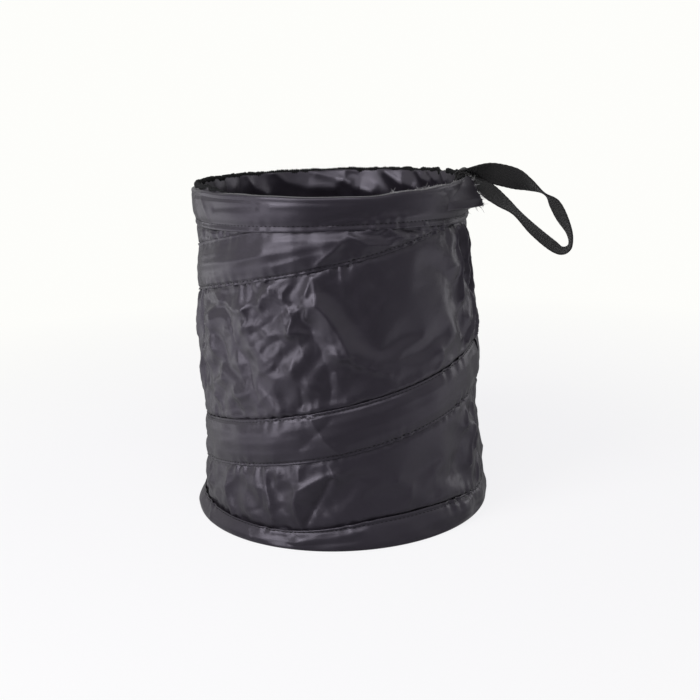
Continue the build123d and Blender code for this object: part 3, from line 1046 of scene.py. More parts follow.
@dataclass
class WallPanel(Piece):
    """Thin nylon wall, sewn down along the casings, bands and seam, and crumpled between them.

    Attributes:
        sim_grid: samples round and up in the cloth simulation.
        fine_grid: samples round and up in the outer face of the finished piece.
        inner_rows: samples up the inner face.
        foot: lowest height of the cloth.
        head: highest height, under the top band.
        thickness: thickness of the cloth.
        frames: steps of the simulation.
    """

    sim_grid: tuple[int, int] = (216, 96)
    fine_grid: tuple[int, int] = (480, 156)
    inner_rows: int = 32
    foot: float = 0.8
    head: float = 184.0
    thickness: float = 0.3
    frames: int = 30

    def sewn(self, angle: Array, z: Array) -> Array:
        """Where the cloth is held: under the bands and casings and along the side seam.

        Args:
            angle: degrees past the seam.
            z: height.

        Returns:
            True where it is held.
        """
        held = (z < FORM.hem_edge(angle)) | (z > FORM.band_edge(angle))
        for turn in Turn:
            held |= np.abs(z - FORM.spiral(angle, turn)) < FORM.casing_half
        return held | (np.abs(np.radians(apart(angle, 0)) * FORM.mean_radius) < 2.0)

    def slack(self, angle: Array, z: Array) -> Array:
        """Share of the cloth's slack: most at the left and behind, least at the front right.

        Args:
            angle: degrees past the seam.
            z: height.

        Returns:
            Share from 0 to 1.
        """
        smooth_front = hump(angle, 316, 26) * smooth(20, 60, z)
        smooth_low = hump(angle, 300, 34) * smooth(75, 45, z)
        return np.clip(0.75 - 0.75 * smooth_front - 0.6 * smooth_low, 0.0, 1.0)

    def start(self, angle: Array, z: Array) -> Array:
        """Cloth before the simulation: the slack form with main folds and faint ripples.

        Args:
            angle: degrees past the seam.
            z: height.

        Returns:
            Places.
        """
        held = self.sewn(angle, z)
        lift = MainFolds()(angle, z)
        lift = lift + 0.45 * Ripple(5, 40, (6, 40), (0.5, 6.0))(angle, z) * self.slack(angle, z)
        return FORM.place(angle, FORM.wall(angle, z) + np.where(held, 0.0, lift), z)

    def crumpled(self, angle: Array, z: Array) -> Array:
        """Let the slack cloth settle between its seams in the cloth solver.

        Args:
            angle: degrees past the seam on the simulation's grid.
            z: height on the same grid.

        Returns:
            Places of the settled cloth in millimetres.
        """
        points = self.start(angle, z)
        solver_unit = 0.01
        kit = MeshKit().add_grid(points * (solver_unit / MM), True, False)
        cloth = kit.build("wall cloth", self.finishes.panel)
        held = cloth.vertex_groups.new(name="sewn")
        held.add(np.flatnonzero(self.sewn(angle, z).ravel()).tolist(), 1.0, "REPLACE")
        loose = cloth.vertex_groups.new(name="slack")
        weights = np.round(self.slack(angle, z).ravel(), 2)
        for weight in np.unique(weights):
            loose.add(np.flatnonzero(weights == weight).tolist(), float(weight), "REPLACE")
        modifier = cloth.modifiers.new("crumple", "CLOTH")
        modifier.collision_settings.use_collision = False
        settings = modifier.settings
        settings.vertex_group_mass = held.name
        settings.vertex_group_shrink = loose.name
        settings.shrink_min = -Slackness.LEAST.value
        settings.shrink_max = -Slackness.MOST.value
        settings.quality = 6
        settings.mass = 0.2
        settings.tension_stiffness = 20
        settings.compression_stiffness = 20
        settings.shear_stiffness = 8
        settings.bending_stiffness = 1.5
        settings.air_damping = 2
        settings.effector_weights.gravity = 0.02
        for step in range(1, self.frames + 1):
            bpy.context.scene.frame_set(step)
        settled = cloth.evaluated_get(bpy.context.evaluated_depsgraph_get())
        places = np.zeros(points.size)
        settled.data.vertices.foreach_get("co", places)
        bpy.data.objects.remove(cloth)
        return places.reshape(points.shape) / solver_unit

    def sewn_lines(self, angle: Array) -> list[Array]:
        """Heights of the sewn lines between which the cloth is free, from the floor up.

        Args:
            angle: degrees past the seam.

        Returns:
            Height of each line in millimetres.
        """
        lines = [FORM.hem_edge(angle)]
        for turn in Turn:
            middle = FORM.spiral(angle, turn)
            lines += [middle - FORM.casing_half, middle + FORM.casing_half]
        return lines + [FORM.band_edge(angle)]

    def creases(self, angle: Array, z: Array) -> Array:
        """Sharp creases and flat facets of thin stiff cloth, which fade out towards each sewn line.

        Args:
            angle: degrees past the seam.
            z: height.

        Returns:
            Lift.
        """
        free = np.where(self.sewn(angle, z), 0.0, 1.0)
        for line in self.sewn_lines(angle):
            free = free * (1 - np.exp(-((z - line) / 4.0) ** 2))
        facets = 1.1 * Crumple(83, 30, 15.0)(angle, z) + 0.46 * Crumple(86, 62, 8.0)(angle, z)
        facets = (facets + self.ridges(angle, z)) * (1 - 0.5 * hump(angle, 205, 14))
        drawn = fold_sum(WALL_CREASES, angle, z, FORM.mean_radius)
        edge = FORM.hem_edge(angle)
        brow = 2.8 * hump(angle, 348, 40) * smooth(edge - 0.5, edge + 2.0, z)
        brow = brow * np.exp(-np.abs(z - edge) / 7.0)
        strip = FORM.spiral(angle, Turn.LOWER) + FORM.casing_half
        brow = brow + 1.5 * smooth(strip - 0.3, strip + 1.8, z) * np.exp(-np.abs(z - strip) / 5.0)
        dip = sum(np.exp(-(((z - line) / 1.6) ** 2)) for line in self.sewn_lines(angle))
        pouch = FORM.pouch(angle) * smooth(138.0, 166.0, z)
        crown = FORM.spiral(angle, Turn.UPPER) + FORM.casing_half
        level = hump(angle, 214, 20) * smooth(crown - 1.5, crown + 1.0, z)
        level = level * smooth(FORM.band_edge(angle) + 1.0, FORM.band_edge(angle) - 1.5, z)
        loose = facets * free * self.slack(angle, z) + 1.8 * drawn * np.sqrt(free)
        return loose * (1 - 0.8 * level) + brow - 0.6 * dip * (1 - level) - pouch + 0.9 * level

    def ridges(self, angle: Array, z: Array) -> Array:
        """Thin creases along the lines where a ripple is zero, each for a short run: exp(-|ripple| / width).

        Args:
            angle: degrees past the seam.
            z: height.

        Returns:
            Lift.
        """
        total = np.zeros(np.broadcast(angle, z).shape)
        for seed, height in ((101, 0.9), (111, -0.8), (121, 0.7)):
            lines = Ripple(seed, 9, (4, 14), (0.8, 3.4))(angle, z)
            runs = smooth(0.1, 1.0, Ripple(seed + 1, 9, (5, 16), (1.0, 4.0))(angle, z))
            total = total + height * runs * np.exp(-np.abs(lines) / 0.2)
        return total

    def puckers(self, angle: Array, z: Array) -> Array:
        """Short gathers that fade away from each sewn line, here strong and there faint.

        Args:
            angle: degrees past the seam.
            z: height.

        Returns:
            Lift.
        """
        ripple = Ripple(11, 14, (60, 100), (0.0, 1.5))(angle, z)
        near = sum(np.exp(-np.abs(z - line) / 4.0) for line in self.sewn_lines(angle))
        patchy = smooth(-0.6, 1.4, Ripple(12, 10, (4, 14), (0.5, 2.0))(angle, z))
        return 0.45 * ripple * patchy * np.minimum(near, 1.0) * (0.3 + self.slack(angle, z))

    def columns(self, count: int) -> Array:
        """Angles of the mesh's columns, closer at the front than at the back.

        Args:
            count: how many columns.

        Returns:
            Degrees past the seam.
        """
        even = np.linspace(0, TURN, 721)
        density = 0.75 + 0.5 * smooth(192.0, 214.0, even) + 1.2 * smooth(337.0, 342.0, even)
        share = np.concatenate([[0.0], np.cumsum((density[1:] + density[:-1]) / 2)])
        return np.interp(np.arange(count) / count * share[-1], share, even)

    def lining(self, outer: Array, out: Array) -> Array:
        """Inner face: a thickness inside the innermost of the outer rows that one of its own rows spans.

        Args:
            outer: places of the outer face.
            out: way out at each place.

        Returns:
            Places of the inner face.
        """
        reach = outer.shape[1] // self.inner_rows + 1
        depth = (outer * out).sum(axis=-1)
        padded = np.pad(depth, ((0, 0), (reach, reach)), mode="edge")
        spans = np.lib.stride_tricks.sliding_window_view(padded, 2 * reach + 1, axis=1)
        return outer + out * (spans.min(axis=-1) - depth - self.thickness)[..., None]

    def build(self) -> None:
        """Make the wall: settled outer face, gathers along the stitches, and an inner face."""
        rounds = np.arange(self.sim_grid[0]) * TURN / self.sim_grid[0]
        heights = np.linspace(self.foot, self.head, self.sim_grid[1])
        angle, z = np.meshgrid(rounds, heights, indexing="ij")
        nu, nv = self.fine_grid
        columns = self.columns(nu)
        outer = resample(self.crumpled(angle, z), columns / TURN, nv)
        angle, z = np.meshgrid(columns, np.linspace(self.foot, self.head, nv), indexing="ij")
        way = np.radians(angle + FORM.seam_angle)
        out = np.stack([np.cos(way), np.sin(way), np.zeros_like(way)], axis=-1)
        outer = outer + out * (self.puckers(angle, z) + self.creases(angle, z))[..., None]
        rows = np.linspace(nv - 1, 0, self.inner_rows).round().astype(int)
        inner = self.lining(outer, out)[:, rows]
        cloth = np.concatenate([outer, inner], axis=1)
        uv = np.stack([np.radians(angle) * FORM.mean_radius, z], axis=-1)
        kit = MeshKit().add_grid(cloth, True, True, np.concatenate([uv, uv[:, rows]], axis=1))
        piece = kit.build("wall", self.finishes.panel)
        finish_piece(piece, Body.BASE, Slot.PANEL, "wall_panel")
        squash(piece)


CASING_FOLDS = (
    Fold(((274, 76), (279, 64), (285, 55)), 1.5, 2.6),
    Fold(((270, 58), (276, 66), (281, 73)), -0.9, 3.0),
    Fold(((279, 158), (283, 163), (287, 168)), 1.6, 2.2),
    Fold(((262, 156), (272, 161), (281, 164)), 0.8, 3.0),
    Fold(((222, 142), (240, 153), (258, 164)), 0.7, 3.5),
    Fold(((230, 52), (245, 60), (262, 64)), 0.6, 3.5),
    Fold(((290, 173), (297, 167), (306, 166)), 1.2, 1.5),
    Fold(((306, 174), (311, 169), (320, 169.5)), 1.4, 1.4),
    Fold(((322, 175), (327, 171), (334, 172.5)), 1.3, 1.3),
    Fold(((299, 173), (304, 170), (309, 171)), -1.1, 1.4),
    Fold(((314, 174), (320, 171.5), (326, 172.5)), -1.1, 1.3),
)


@dataclass
class CasingStrip(Piece):
    """Cloth strip sewn over one turn of the spiral wire.

    Attributes:
        turn: which turn it covers.
        samples: samples along and across.
        thickness: thickness of the cloth.
    """

    turn: Turn
    samples: tuple[int, int] = (560, 44)
    thickness: float = 0.35

    def span(self) -> tuple[float, float]:
        """First and last angle of the strip; the upper one laps over the lower at the side seam."""
        return (34.0, 361.0) if self.turn is Turn.LOWER else (-0.8, 356.0)

    def lift(self, angle: Array, across: Array) -> Array:
        """Distance out from the wall over the strip's width.

        The strip is sewn down near both edges, stands slack between them and rides over the wire
        in the middle. On the left the wire draws its middle in.

        Args:
            angle: degrees past the seam.
            across: place across the strip, from -1 at its lower edge to 1.

        Returns:
            Lift.
        """
        edge = 1 - np.abs(across)
        calm = (self.turn is Turn.UPPER) * hump(angle, 235, 50) * smooth(0.3, 0.6, across)
        groove = 0.35 * np.exp(-(((edge - 0.11) / 0.04) ** 2))
        sewn = (0.45 + 0.5 * smooth(0.11, 0.2, edge) - groove) * (1 - 0.75 * calm)
        slack = 1.2 * smooth(0.1, 0.6, edge)
        shown = hump(angle, 245, 45) if self.turn is Turn.UPPER else 0.35 * hump(angle, 240, 50)
        wire = (0.2 + 0.9 * shown) * np.exp(-((across / 0.2) ** 2))
        if self.turn is Turn.UPPER:
            swell = 1.5 * hump(angle, 322, 24) * smooth(-1.0, 0.4, across)
            return sewn + slack + wire + swell + 0.5 * hump(angle, 0, 2)
        pinch = hump(angle, 195, 28)
        return sewn + slack + wire * (1 - pinch) - 1.6 * pinch * np.exp(-((across / 0.3) ** 2))

    def surface(self, angle: Array, across: Array, out: float = 0.0) -> Array:
        """Points of the strip's outer face, or at a distance out from it.

        Args:
            angle: degrees past the seam.
            across: place across the strip.
            out: distance out from the face.

        Returns:
            Places.
        """
        z = FORM.spiral(angle, self.turn) + across * FORM.casing_half
        low = FORM.hem_edge(angle) - 4.0
        high = FORM.band_edge(angle) + 3.0
        z = np.clip(z, low, high)
        under = np.maximum(smooth(high - 8.0, high - 3.0, z), smooth(low + 9.0, low + 4.0, z))
        edge = 1 - np.abs(across)
        gathers = Ripple(21 + self.turn.value, 16, (55, 95), (0.0, 1.0))(angle, z)
        soft = Ripple(31 + self.turn.value, 18, (8, 30), (0.5, 3.0))(angle, z)
        lift = self.lift(angle, across) * (1 - 0.7 * under)
        patchy = smooth(-0.6, 1.4, Ripple(25 + self.turn.value, 10, (4, 14), (0.5, 2.0))(angle, z))
        patchy = patchy + 1.2 * hump(angle, 200, 16)
        if self.turn is Turn.UPPER:
            patchy = patchy + 2.2 * hump(angle, 331, 16) * np.exp(edge / 0.7) + 0.7 * hump(angle, 248, 26)
        lift = lift + 0.36 * gathers * patchy * np.exp(-edge / 0.25) + 0.22 * soft * smooth(0.05, 0.4, edge)
        lift = lift + fold_sum(CASING_FOLDS, angle, z, FORM.mean_radius) * smooth(0.0, 0.2, edge)
        lift = np.maximum(lift, 1.7 * np.exp(-((across / 0.22) ** 2)))
        return FORM.place(angle, FORM.wall(angle, z) + lift + out, z)

    def build(self) -> None:
        """Make the strip with an outer and an inner face."""
        nu, nv = self.samples
        first, last = self.span()
        angle, across = np.meshgrid(np.linspace(first, last, nu), np.linspace(-1, 1, nv), indexing="ij")
        outer = self.surface(angle, across)
        inner = self.surface(angle[:, ::-1], across[:, ::-1], -self.thickness)
        uv = np.stack([np.radians(angle) * FORM.mean_radius, across * FORM.casing_half], axis=-1)
        uv = np.concatenate([uv, uv[:, ::-1]], axis=1)
        kit = MeshKit().add_tube(np.concatenate([outer, inner], axis=1), uv)
        name = self.turn.name.lower() + "_casing"
        piece = kit.build(name + "_cloth", self.finishes.casing)
        finish_piece(piece, Body.BASE, Slot.CASING, name)
        squash(piece)


BAND_FOLDS = (
    Fold(((233, 186.5), (243, 187.5), (256, 188.5)), -0.7, 1.1),
    Fold(((262, 189), (272, 190), (283, 189.5)), 0.5, 1.4),
    Fold(((280, 181), (289, 183.5), (301, 183)), -0.8, 1.4),
    Fold(((215, 190), (219, 180)), 0.6, 1.4),
    Fold(((223, 191), (228, 181)), 0.5, 1.4),
)

FACING_FOLDS = (
    Fold(((134, 196), (128, 190), (117, 186), (104, 185)), 2.6, 3.6),
    Fold(((112, 194), (104, 191), (96, 188)), 1.6, 3.0),
    Fold(((98, 196), (99, 190), (94, 185), (84, 183)), 2.4, 3.8),
    Fold(((78, 194), (70, 188), (62, 186)), 2.0, 3.4),
    Fold(((60, 196), (56, 191), (50, 189)), 1.8, 2.4),
    Fold(((52, 196), (46, 190)), 1.6, 2.2),
    Fold(((42, 196), (38, 190)), 1.4, 2.0),
    Fold(((150, 196), (146, 188), (139, 183)), 1.8, 3.2),
    Fold(((120, 176), (100, 171), (86, 176)), 1.6, 4.0),
)


@dataclass
class TopBand(Piece):
    """Casing round the mouth: sewn edge, hoop pocket, fold, and the facing inside.

    Attributes:
        samples: samples round and along the profile.
        cut: width that the cloth was cut to; not used.
        steady: height above which the band keeps its section as its sewn edge rises and falls.
        stitched: station of the profile that the stitches run along.
        profile: closed section as (out from the wall, height), from the sewn edge up and round.
    """

    samples: tuple[int, int] = (640, 64)
    cut: float = 48.0
    steady: float = 190.0
    stitched: int = 3
    profile: tuple[tuple[float, float], ...] = (
        (0.45, 178.2), (0.9, 176.4), (1.35, 177.2), (1.0, 179.2), (2.1, 181.6), (2.7, 185.0), (2.85, 188.5),
        (3.05, 191.4), (2.8, 193.4), (2.0, 194.2), (1.1, 194.4), (0.6, 195.0), (0.3, 195.7), (-0.4, 195.7),
        (-0.9, 194.6), (-1.1, 191.0), (-1.0, 186.0), (-0.9, 181.0), (-0.7, 178.2), (-0.2, 177.6),
    )

    def surface(self, angle: Array, share: Array) -> Array:
        """Points of the band: its profile carried round the rim, with gathers at the stitches.

        Args:
            angle: degrees past the seam.
            share: place along the closed profile, from 0 to 1.

        Returns:
            Places.
        """
        out, z = along_profile(self.profile, share, 400)
        outside = smooth(0.62, 0.5, share)
        low = smooth(self.steady, 177.5, z)
        above = np.maximum(z - FORM.height - 0.2, 0.0)
        tuck = FORM.tuck(angle)
        z = z - above * tuck
        gathers = Ripple(41, 18, (50, 95), (0.0, 1.0))(angle, z)
        soft = Ripple(42, 16, (5, 22), (0.3, 2.0))(angle, z)
        folds = Ripple(43, 14, (9, 26), (0.5, 2.5))(angle, z)
        patchy = smooth(-0.4, 1.6, Ripple(45, 10, (4, 12), (0.0, 0.1))(angle, z))
        out = out + outside * (0.42 * gathers * patchy * low**2 + 0.2 * soft * smooth(177.5, 181.0, z))
        mouth = hump(angle, 310, 13) * smooth(186.0, 181.0, z)
        out = out + outside * 1.1 * mouth
        lip = hump(angle, 240, 38) + 0.5 * hump(angle, 340, 20)
        out = out - outside * 0.9 * lip * np.exp(-(((z - 191.4) / 0.9) ** 2))
        out = out + outside * fold_sum(BAND_FOLDS, angle, z, FORM.top_radius)
        inner = fold_sum(FACING_FOLDS, angle, z, FORM.top_radius)
        inner = inner + FORM.pouch(angle) * smooth(195.0, 182.0, z)
        out = out - (1 - outside) * (np.abs(folds) * 0.5 * smooth(196.0, 188.0, z) + inner + 1.2 * tuck)
        foot = self.profile[1][1]
        below = (self.steady - z) * (self.steady - FORM.band_edge(angle)) / (self.steady - foot)
        z = np.where(z < self.steady, self.steady - below, z)
        drop = FORM.rim_sag(angle) * smooth(176.0, 192.0, z)
        wave = 0.14 * Ripple(44, 10, (6, 20), (0.0, 0.1))(angle, z) * smooth(self.steady, FORM.height, z)
        return FORM.place(angle, FORM.wall(angle, z) + out, z - drop + wave)

    def build(self) -> None:
        """Make the band."""
        nu, nv = self.samples
        angle, share = np.meshgrid(np.arange(nu) * TURN / nu, np.arange(nv) / nv, indexing="ij")
        points = self.surface(angle, share)
        length = 2 * (self.profile[8][1] - self.profile[2][1]) + 6.0
        uv = np.stack([np.radians(angle) * FORM.mean_radius, share * length], axis=-1)
        piece = MeshKit().add_grid(points, True, True, uv).build("top_band_cloth", self.finishes.band)
        finish_piece(piece, Body.RIM, Slot.BAND, "top_band")


@dataclass
class TailFlap(Piece):
    """Raw end of the top band that stands out at the side seam.

    Attributes:
        root: angle at which it leaves the band's face.
        span: degrees from there to its raw edge.
        outline: how far the raw edge stands out at each height, as (height, reach).
        face: distance of the band's face from the wall at each height, as (height, distance).
        thickness: thickness of the doubled cloth.
        cut: length that the cloth was cut to; not used.
        samples: samples out and down.
    """

    root: float = 329.0
    span: float = 27.0
    outline: tuple[tuple[float, float], ...] = (
        (177.2, 0.4), (178.6, 2.2), (180.2, 9.9), (184.5, 8.0), (188.4, 5.6), (194.6, 1.8),
    )
    face: tuple[tuple[float, float], ...] = (
        (177.2, 0.9), (178.6, 1.1), (181.0, 2.0), (185.0, 2.7), (191.4, 3.05), (193.4, 2.8), (194.6, 1.9),
    )
    thickness: float = 0.5
    cut: float = 47.0
    samples: tuple[int, int] = (30, 60)

    def surface(self, share: Array, z: Array) -> Array:
        """Points of the flap, which runs straight on from the band's face to a ragged edge.

        Args:
            share: place from the root, 0, to the raw edge, 1.
            z: height.

        Returns:
            Places.
        """
        reach = np.interp(z, *np.array(self.outline).T)
        face = np.interp(z, *np.array(self.face).T)
        share = share * (1 + 0.014 * np.sin(2.3 * z) + 0.01 * np.sin(5.1 * z))
        turn = np.radians(self.span)
        near = FORM.wall(self.root, z) + face
        far = FORM.wall(self.root + self.span, z) + face + reach
        ahead = near * (1 - share) + far * np.cos(turn) * share
        aside = far * np.sin(turn) * share
        angle = self.root + np.degrees(np.arctan2(aside, ahead))
        radius = np.maximum(np.hypot(ahead, aside), FORM.wall(angle, z) + face)
        radius = radius + 0.25 - 0.8 * (1 - smooth(0.0, 0.35, share))
        rise = 2.4 * share**2 * smooth(187.0, 194.6, z) - FORM.rim_sag(angle) * smooth(176.0, 192.0, z)
        return FORM.place(angle, radius, z + rise)

    def build(self) -> None:
        """Make the flap with an outer and an inner face."""
        nu, nv = self.samples
        low, high = self.outline[0][0], self.outline[-1][0]
        share, z = np.meshgrid(np.linspace(0, 1, nu), np.linspace(low, high, nv), indexing="ij")
        outer = self.surface(share, z)
        way = np.radians(self.root + FORM.seam_angle)
        back = -self.thickness * np.array([np.cos(way), np.sin(way), 0.0])
        uv = np.stack([np.radians(self.span * share) * FORM.top_radius, z], axis=-1)
        uv = np.concatenate([uv, uv[:, ::-1]], axis=1)
        kit = MeshKit().add_tube(np.concatenate([outer, outer[:, ::-1] + back], axis=1), uv)
        piece = kit.build("band_tail", self.finishes.band)
        finish_piece(piece, Body.RIM, Slot.BAND)


@dataclass
class Frays(Piece):
    """Loose thread ends along the raw end and the rim beside it.

    Attributes:
        count: threads along the raw end and along the rim.
        heights: lowest and highest root on the raw end.
        rim: angle at which the roots on the rim start, and degrees that they run back.
        reach: least and most length of a thread on the raw end.
        rim_reach: least and most length of a thread on the rim.
        radius: radius of a thread.
        seed: seed of their lengths and ways.
    """

    count: tuple[int, int] = (44, 200)
    heights: tuple[float, float] = (174.0, 194.5)
    rim: tuple[float, float] = (358.0, 52.0)
    reach: tuple[float, float] = (1.0, 4.0)
    rim_reach: tuple[float, float] = (0.6, 2.0)
    radius: float = 0.13
    seed: int = 91

    def roots(self, flap: TailFlap, draw: np.random.Generator) -> Array:
        """Places where the threads start: on the flap's raw edge, and on the rim's fold beside the seam.

        Args:
            flap: the raw end.
            draw: source of the random places.

        Returns:
            Places.
        """
        on_flap = flap.surface(np.ones(self.count[0]), draw.uniform(*self.heights, self.count[0]))
        angle = self.rim[0] - self.rim[1] * draw.uniform(0.0, 1.0, self.count[1]) ** 1.2
        z = FORM.height + 0.4 - FORM.rim_sag(angle)
        on_rim = FORM.place(angle, FORM.wall(angle, z) + draw.uniform(1.1, 2.6, self.count[1]), z)
        return np.concatenate([on_flap, on_rim])

    def build(self, flap: TailFlap) -> None:
        """Make the threads: thin tubes that leave their root, bend and taper, short ones along the rim.

        Args:
            flap: the raw end that they fray from.
        """
        draw = np.random.default_rng(self.seed)
        start = self.roots(flap, draw)
        total = len(start)
        outward = start * np.array([1.0, 1.0, 0.0])
        outward /= np.linalg.norm(outward, axis=1, keepdims=True)
        on_rim = (np.arange(total) >= self.count[0])[:, None]
        along = np.cross(outward, [0.0, 0.0, 1.0]) * draw.choice((-1.0, 1.0), (total, 1))
        heading = np.where(on_rim, along + [0.0, 0.0, 0.3] + draw.normal(0.0, 0.35, (total, 3)),
                           0.5 * outward + draw.normal(0.0, 0.7, (total, 3)))
        heading /= np.linalg.norm(heading, axis=1, keepdims=True)
        bend = draw.normal(0.0, 0.8, (total, 3))
        short = draw.uniform(*self.rim_reach, total)
        length = np.where(on_rim[:, 0], short, draw.uniform(*self.reach, total))
        share = np.linspace(0, 1, 7)
        core = start[:, None] + length[:, None, None] * (
            heading[:, None] * share[None, :, None] + bend[:, None] * (share**2)[None, :, None] * 0.6)
        side = np.cross(heading, bend)
        side /= np.linalg.norm(side, axis=1, keepdims=True)
        other = np.cross(heading, side)
        about = (np.arange(4) * np.pi / 2)[:, None]
        girth = self.radius * (1.0 - 0.5 * share)
        spokes = np.cos(about) * side[:, None, None] + np.sin(about) * other[:, None, None]
        kit = MeshKit().add_spindles(core[:, :, None] + girth[None, :, None, None] * spokes)
        piece = kit.build("frayed_ends", self.finishes.fray)
        finish_piece(piece, Body.RIM, Slot.THREAD)


HEM_FOLDS = (
    Fold(((268, 5.5), (280, 7.5), (292, 10.5)), 0.7, 1.3),
    Fold(((265, 3.0), (280, 4.5), (290, 6.0)), -0.6, 1.3),
    Fold(((222, 8.0), (223, 3.0)), 0.5, 1.3),
    Fold(((247, 7.0), (249, 3.0)), 0.5, 1.3),
)


@dataclass
class BottomBand(Piece):
    """Hem round the foot: a pocket for the bottom hoop that slopes in to its sewn edge.

    Attributes:
        samples: samples round and along the profile.
        cut: width that the cloth was cut to.
        foot: height below which the hem keeps its section as its sewn edge rises and falls.
        stitched: station of the profile that the stitches run along.
        profile: closed section as (out from the wall, height), from the floor out and up.
    """

    samples: tuple[int, int] = (560, 44)
    cut: float = 36.0
    foot: float = 4.0
    stitched: int = 8
    profile: tuple[tuple[float, float], ...] = (
        (0.4, 0.0), (2.2, 0.0), (3.6, 0.25), (4.15, 1.2), (4.2, 3.0), (3.9, 4.8), (2.9, 7.6), (1.9, 10.6),
        (1.1, 12.6), (1.35, 13.6), (0.9, 14.4), (0.45, 13.4), (0.4, 9.0), (0.4, 4.0),
    )

    def surface(self, angle: Array, share: Array) -> Array:
        """Points of the hem: its profile carried round the foot, with gathers at the stitches.

        Args:
            angle: degrees past the seam.
            share: place along the closed profile, from 0 to 1.

        Returns:
            Places.
        """
        out, low = along_profile(self.profile, share, 300)
        edge = FORM.hem_edge(angle)
        stretch = edge / FORM.hem_head
        above = (low - self.foot) * (edge - self.foot) / (FORM.hem_head - self.foot)
        z = np.where(low > self.foot, self.foot + above, low)
        gathers = Ripple(51, 18, (50, 95), (0.0, 1.0))(angle, z)
        soft = Ripple(52, 16, (6, 26), (0.5, 4.0))(angle, z)
        swell = 1.3 * hump(angle, 345, 40) * smooth(self.foot, 8.0, low) * smooth(13.2, 11.5, low)
        out = out + swell * smooth(0.5, 1.0, out)
        out = out + smooth(1.2, 2.0, out) * fold_sum(HEM_FOLDS, angle, z, FORM.base_radius)
        face = smooth(1.5, 3.0, out)
        patchy = smooth(-0.4, 1.6, Ripple(53, 10, (4, 12), (0.0, 0.1))(angle, z))
        out = out + 0.4 * gathers * patchy * smooth(6.0, 13.0, low) * stretch
        out = out + 0.4 * soft * face * smooth(0.3, 4.0, z)
        return FORM.place(angle, FORM.wall(angle, z) + np.maximum(out, 0.35), np.maximum(z, 0.0))

    def build(self) -> None:
        """Make the hem."""
        nu, nv = self.samples
        angle, share = np.meshgrid(np.arange(nu) * TURN / nu, np.arange(nv) / nv, indexing="ij")
        points = self.surface(angle, share)
        uv = np.stack([np.radians(angle) * FORM.base_radius, share * self.cut], axis=-1)
        piece = MeshKit().add_grid(points, True, True, uv).build("bottom_band_cloth", self.finishes.band)
        finish_piece(piece, Body.BASE, Slot.BAND, "bottom_band")


@dataclass
class BasePanel(Piece):
    """Round cloth floor of the bin.

    Attributes:
        samples: samples round and outwards.
        thickness: thickness of the cloth.
        centre: share of the radius at which the rows start.
        gap: distance of the edge from the wall's outer face.
    """

    samples: tuple[int, int] = (240, 40)
    thickness: float = 0.5
    centre: float = 0.004
    gap: float = 0.2

    def build(self) -> None:
        """Make the floor: flat below, with faint gathers towards its sewn edge on top."""
        nu, nv = self.samples
        rounds = np.arange(nu)[::-1] * TURN / nu
        share, angle = np.meshgrid(np.linspace(self.centre, 1, nv), rounds, indexing="ij")
        radius = FORM.wall(angle, 0.0) - self.gap
        gathers = Ripple(61, 14, (30, 60), (0.0, 0.1))(angle, share)
        soft = Ripple(62, 14, (2, 9), (0.5, 3.0))(angle, share * FORM.base_radius)
        top = self.thickness + 0.35 * (0.7 + 0.3 * soft) * share + 0.2 * (1 + 0.5 * gathers) * share**4
        upper = FORM.place(angle, share * radius, top)
        lower = FORM.place(angle, share * radius, np.zeros_like(share))
        way = np.radians(angle)
        uv = np.stack([share * radius * np.cos(way), share * radius * np.sin(way)], axis=-1)
        kit = MeshKit().add_tube(np.concatenate([lower, upper[::-1]]), np.concatenate([uv, uv[::-1]]))
        piece = kit.build("base_cloth", self.finishes.panel)
        finish_piece(piece, Body.BASE, Slot.PANEL, "base_panel")


@dataclass
class RimEdging(Piece):
    """Overlocked edge that stands up inside the rim: thread loops over the raw cloth.

    Attributes:
        samples: samples round and about the section.
        loops: thread loops in one turn.
        half_width: half of the edging's thickness.
        rise: height of the edging.
    """

    samples: tuple[int, int] = (2400, 14)
    loops: int = 340
    half_width: float = 1.0
    rise: float = 3.0

    def middle(self, angle: Array) -> tuple[Array, Array]:
        """Radius and foot height of the edging, which is gathered in and out and up and down.

        Args:
            angle: degrees past the seam.

        Returns:
            Radius and height in millimetres.
        """
        z = np.full_like(angle, FORM.height + 0.2)
        bunched = 1.0 + 2.2 * hump(angle, 44, 22)
        tuck = FORM.tuck(angle)
        sway = 0.3 * Ripple(71, 12, (24, 60), (0.0, 0.1))(angle, z) * bunched
        lift = 0.16 * Ripple(72, 12, (10, 40), (0.0, 0.1))(angle, z) * bunched
        radius = FORM.wall(angle, z) - 0.1 + sway - 1.6 * tuck
        return radius, z - FORM.rim_sag(angle) + lift - 3.4 * tuck

    def build(self) -> None:
        """Make the edging: an oval section with a slanting ridge for each thread loop."""
        nu, nv = self.samples
        angle, about = np.meshgrid(np.arange(nu) * TURN / nu, np.arange(nv) * 2 * np.pi / nv, indexing="ij")
        radius, foot = self.middle(angle)
        slant = np.radians(self.loops * angle) + 0.9 * np.sin(about)
        uneven = Ripple(73, 12, (60, 160), (0.0, 0.1))(angle, foot)
        ridge = 1.0 + 0.22 * np.sin(slant) + 0.08 * uneven
        out = self.half_width * ridge * np.sign(np.cos(about)) * np.abs(np.cos(about)) ** 0.7
        up = 0.5 * self.rise * (1 + ridge * np.sin(about))
        points = FORM.place(angle, radius + out, foot + up)
        uv = np.stack([np.radians(angle) * FORM.top_radius, about * self.half_width], axis=-1)
        piece = MeshKit().add_grid(points, True, True, uv).build("rim_edging_thread", self.finishes.thread)
        finish_piece(piece, Body.RIM, Slot.THREAD, "rim_edging")


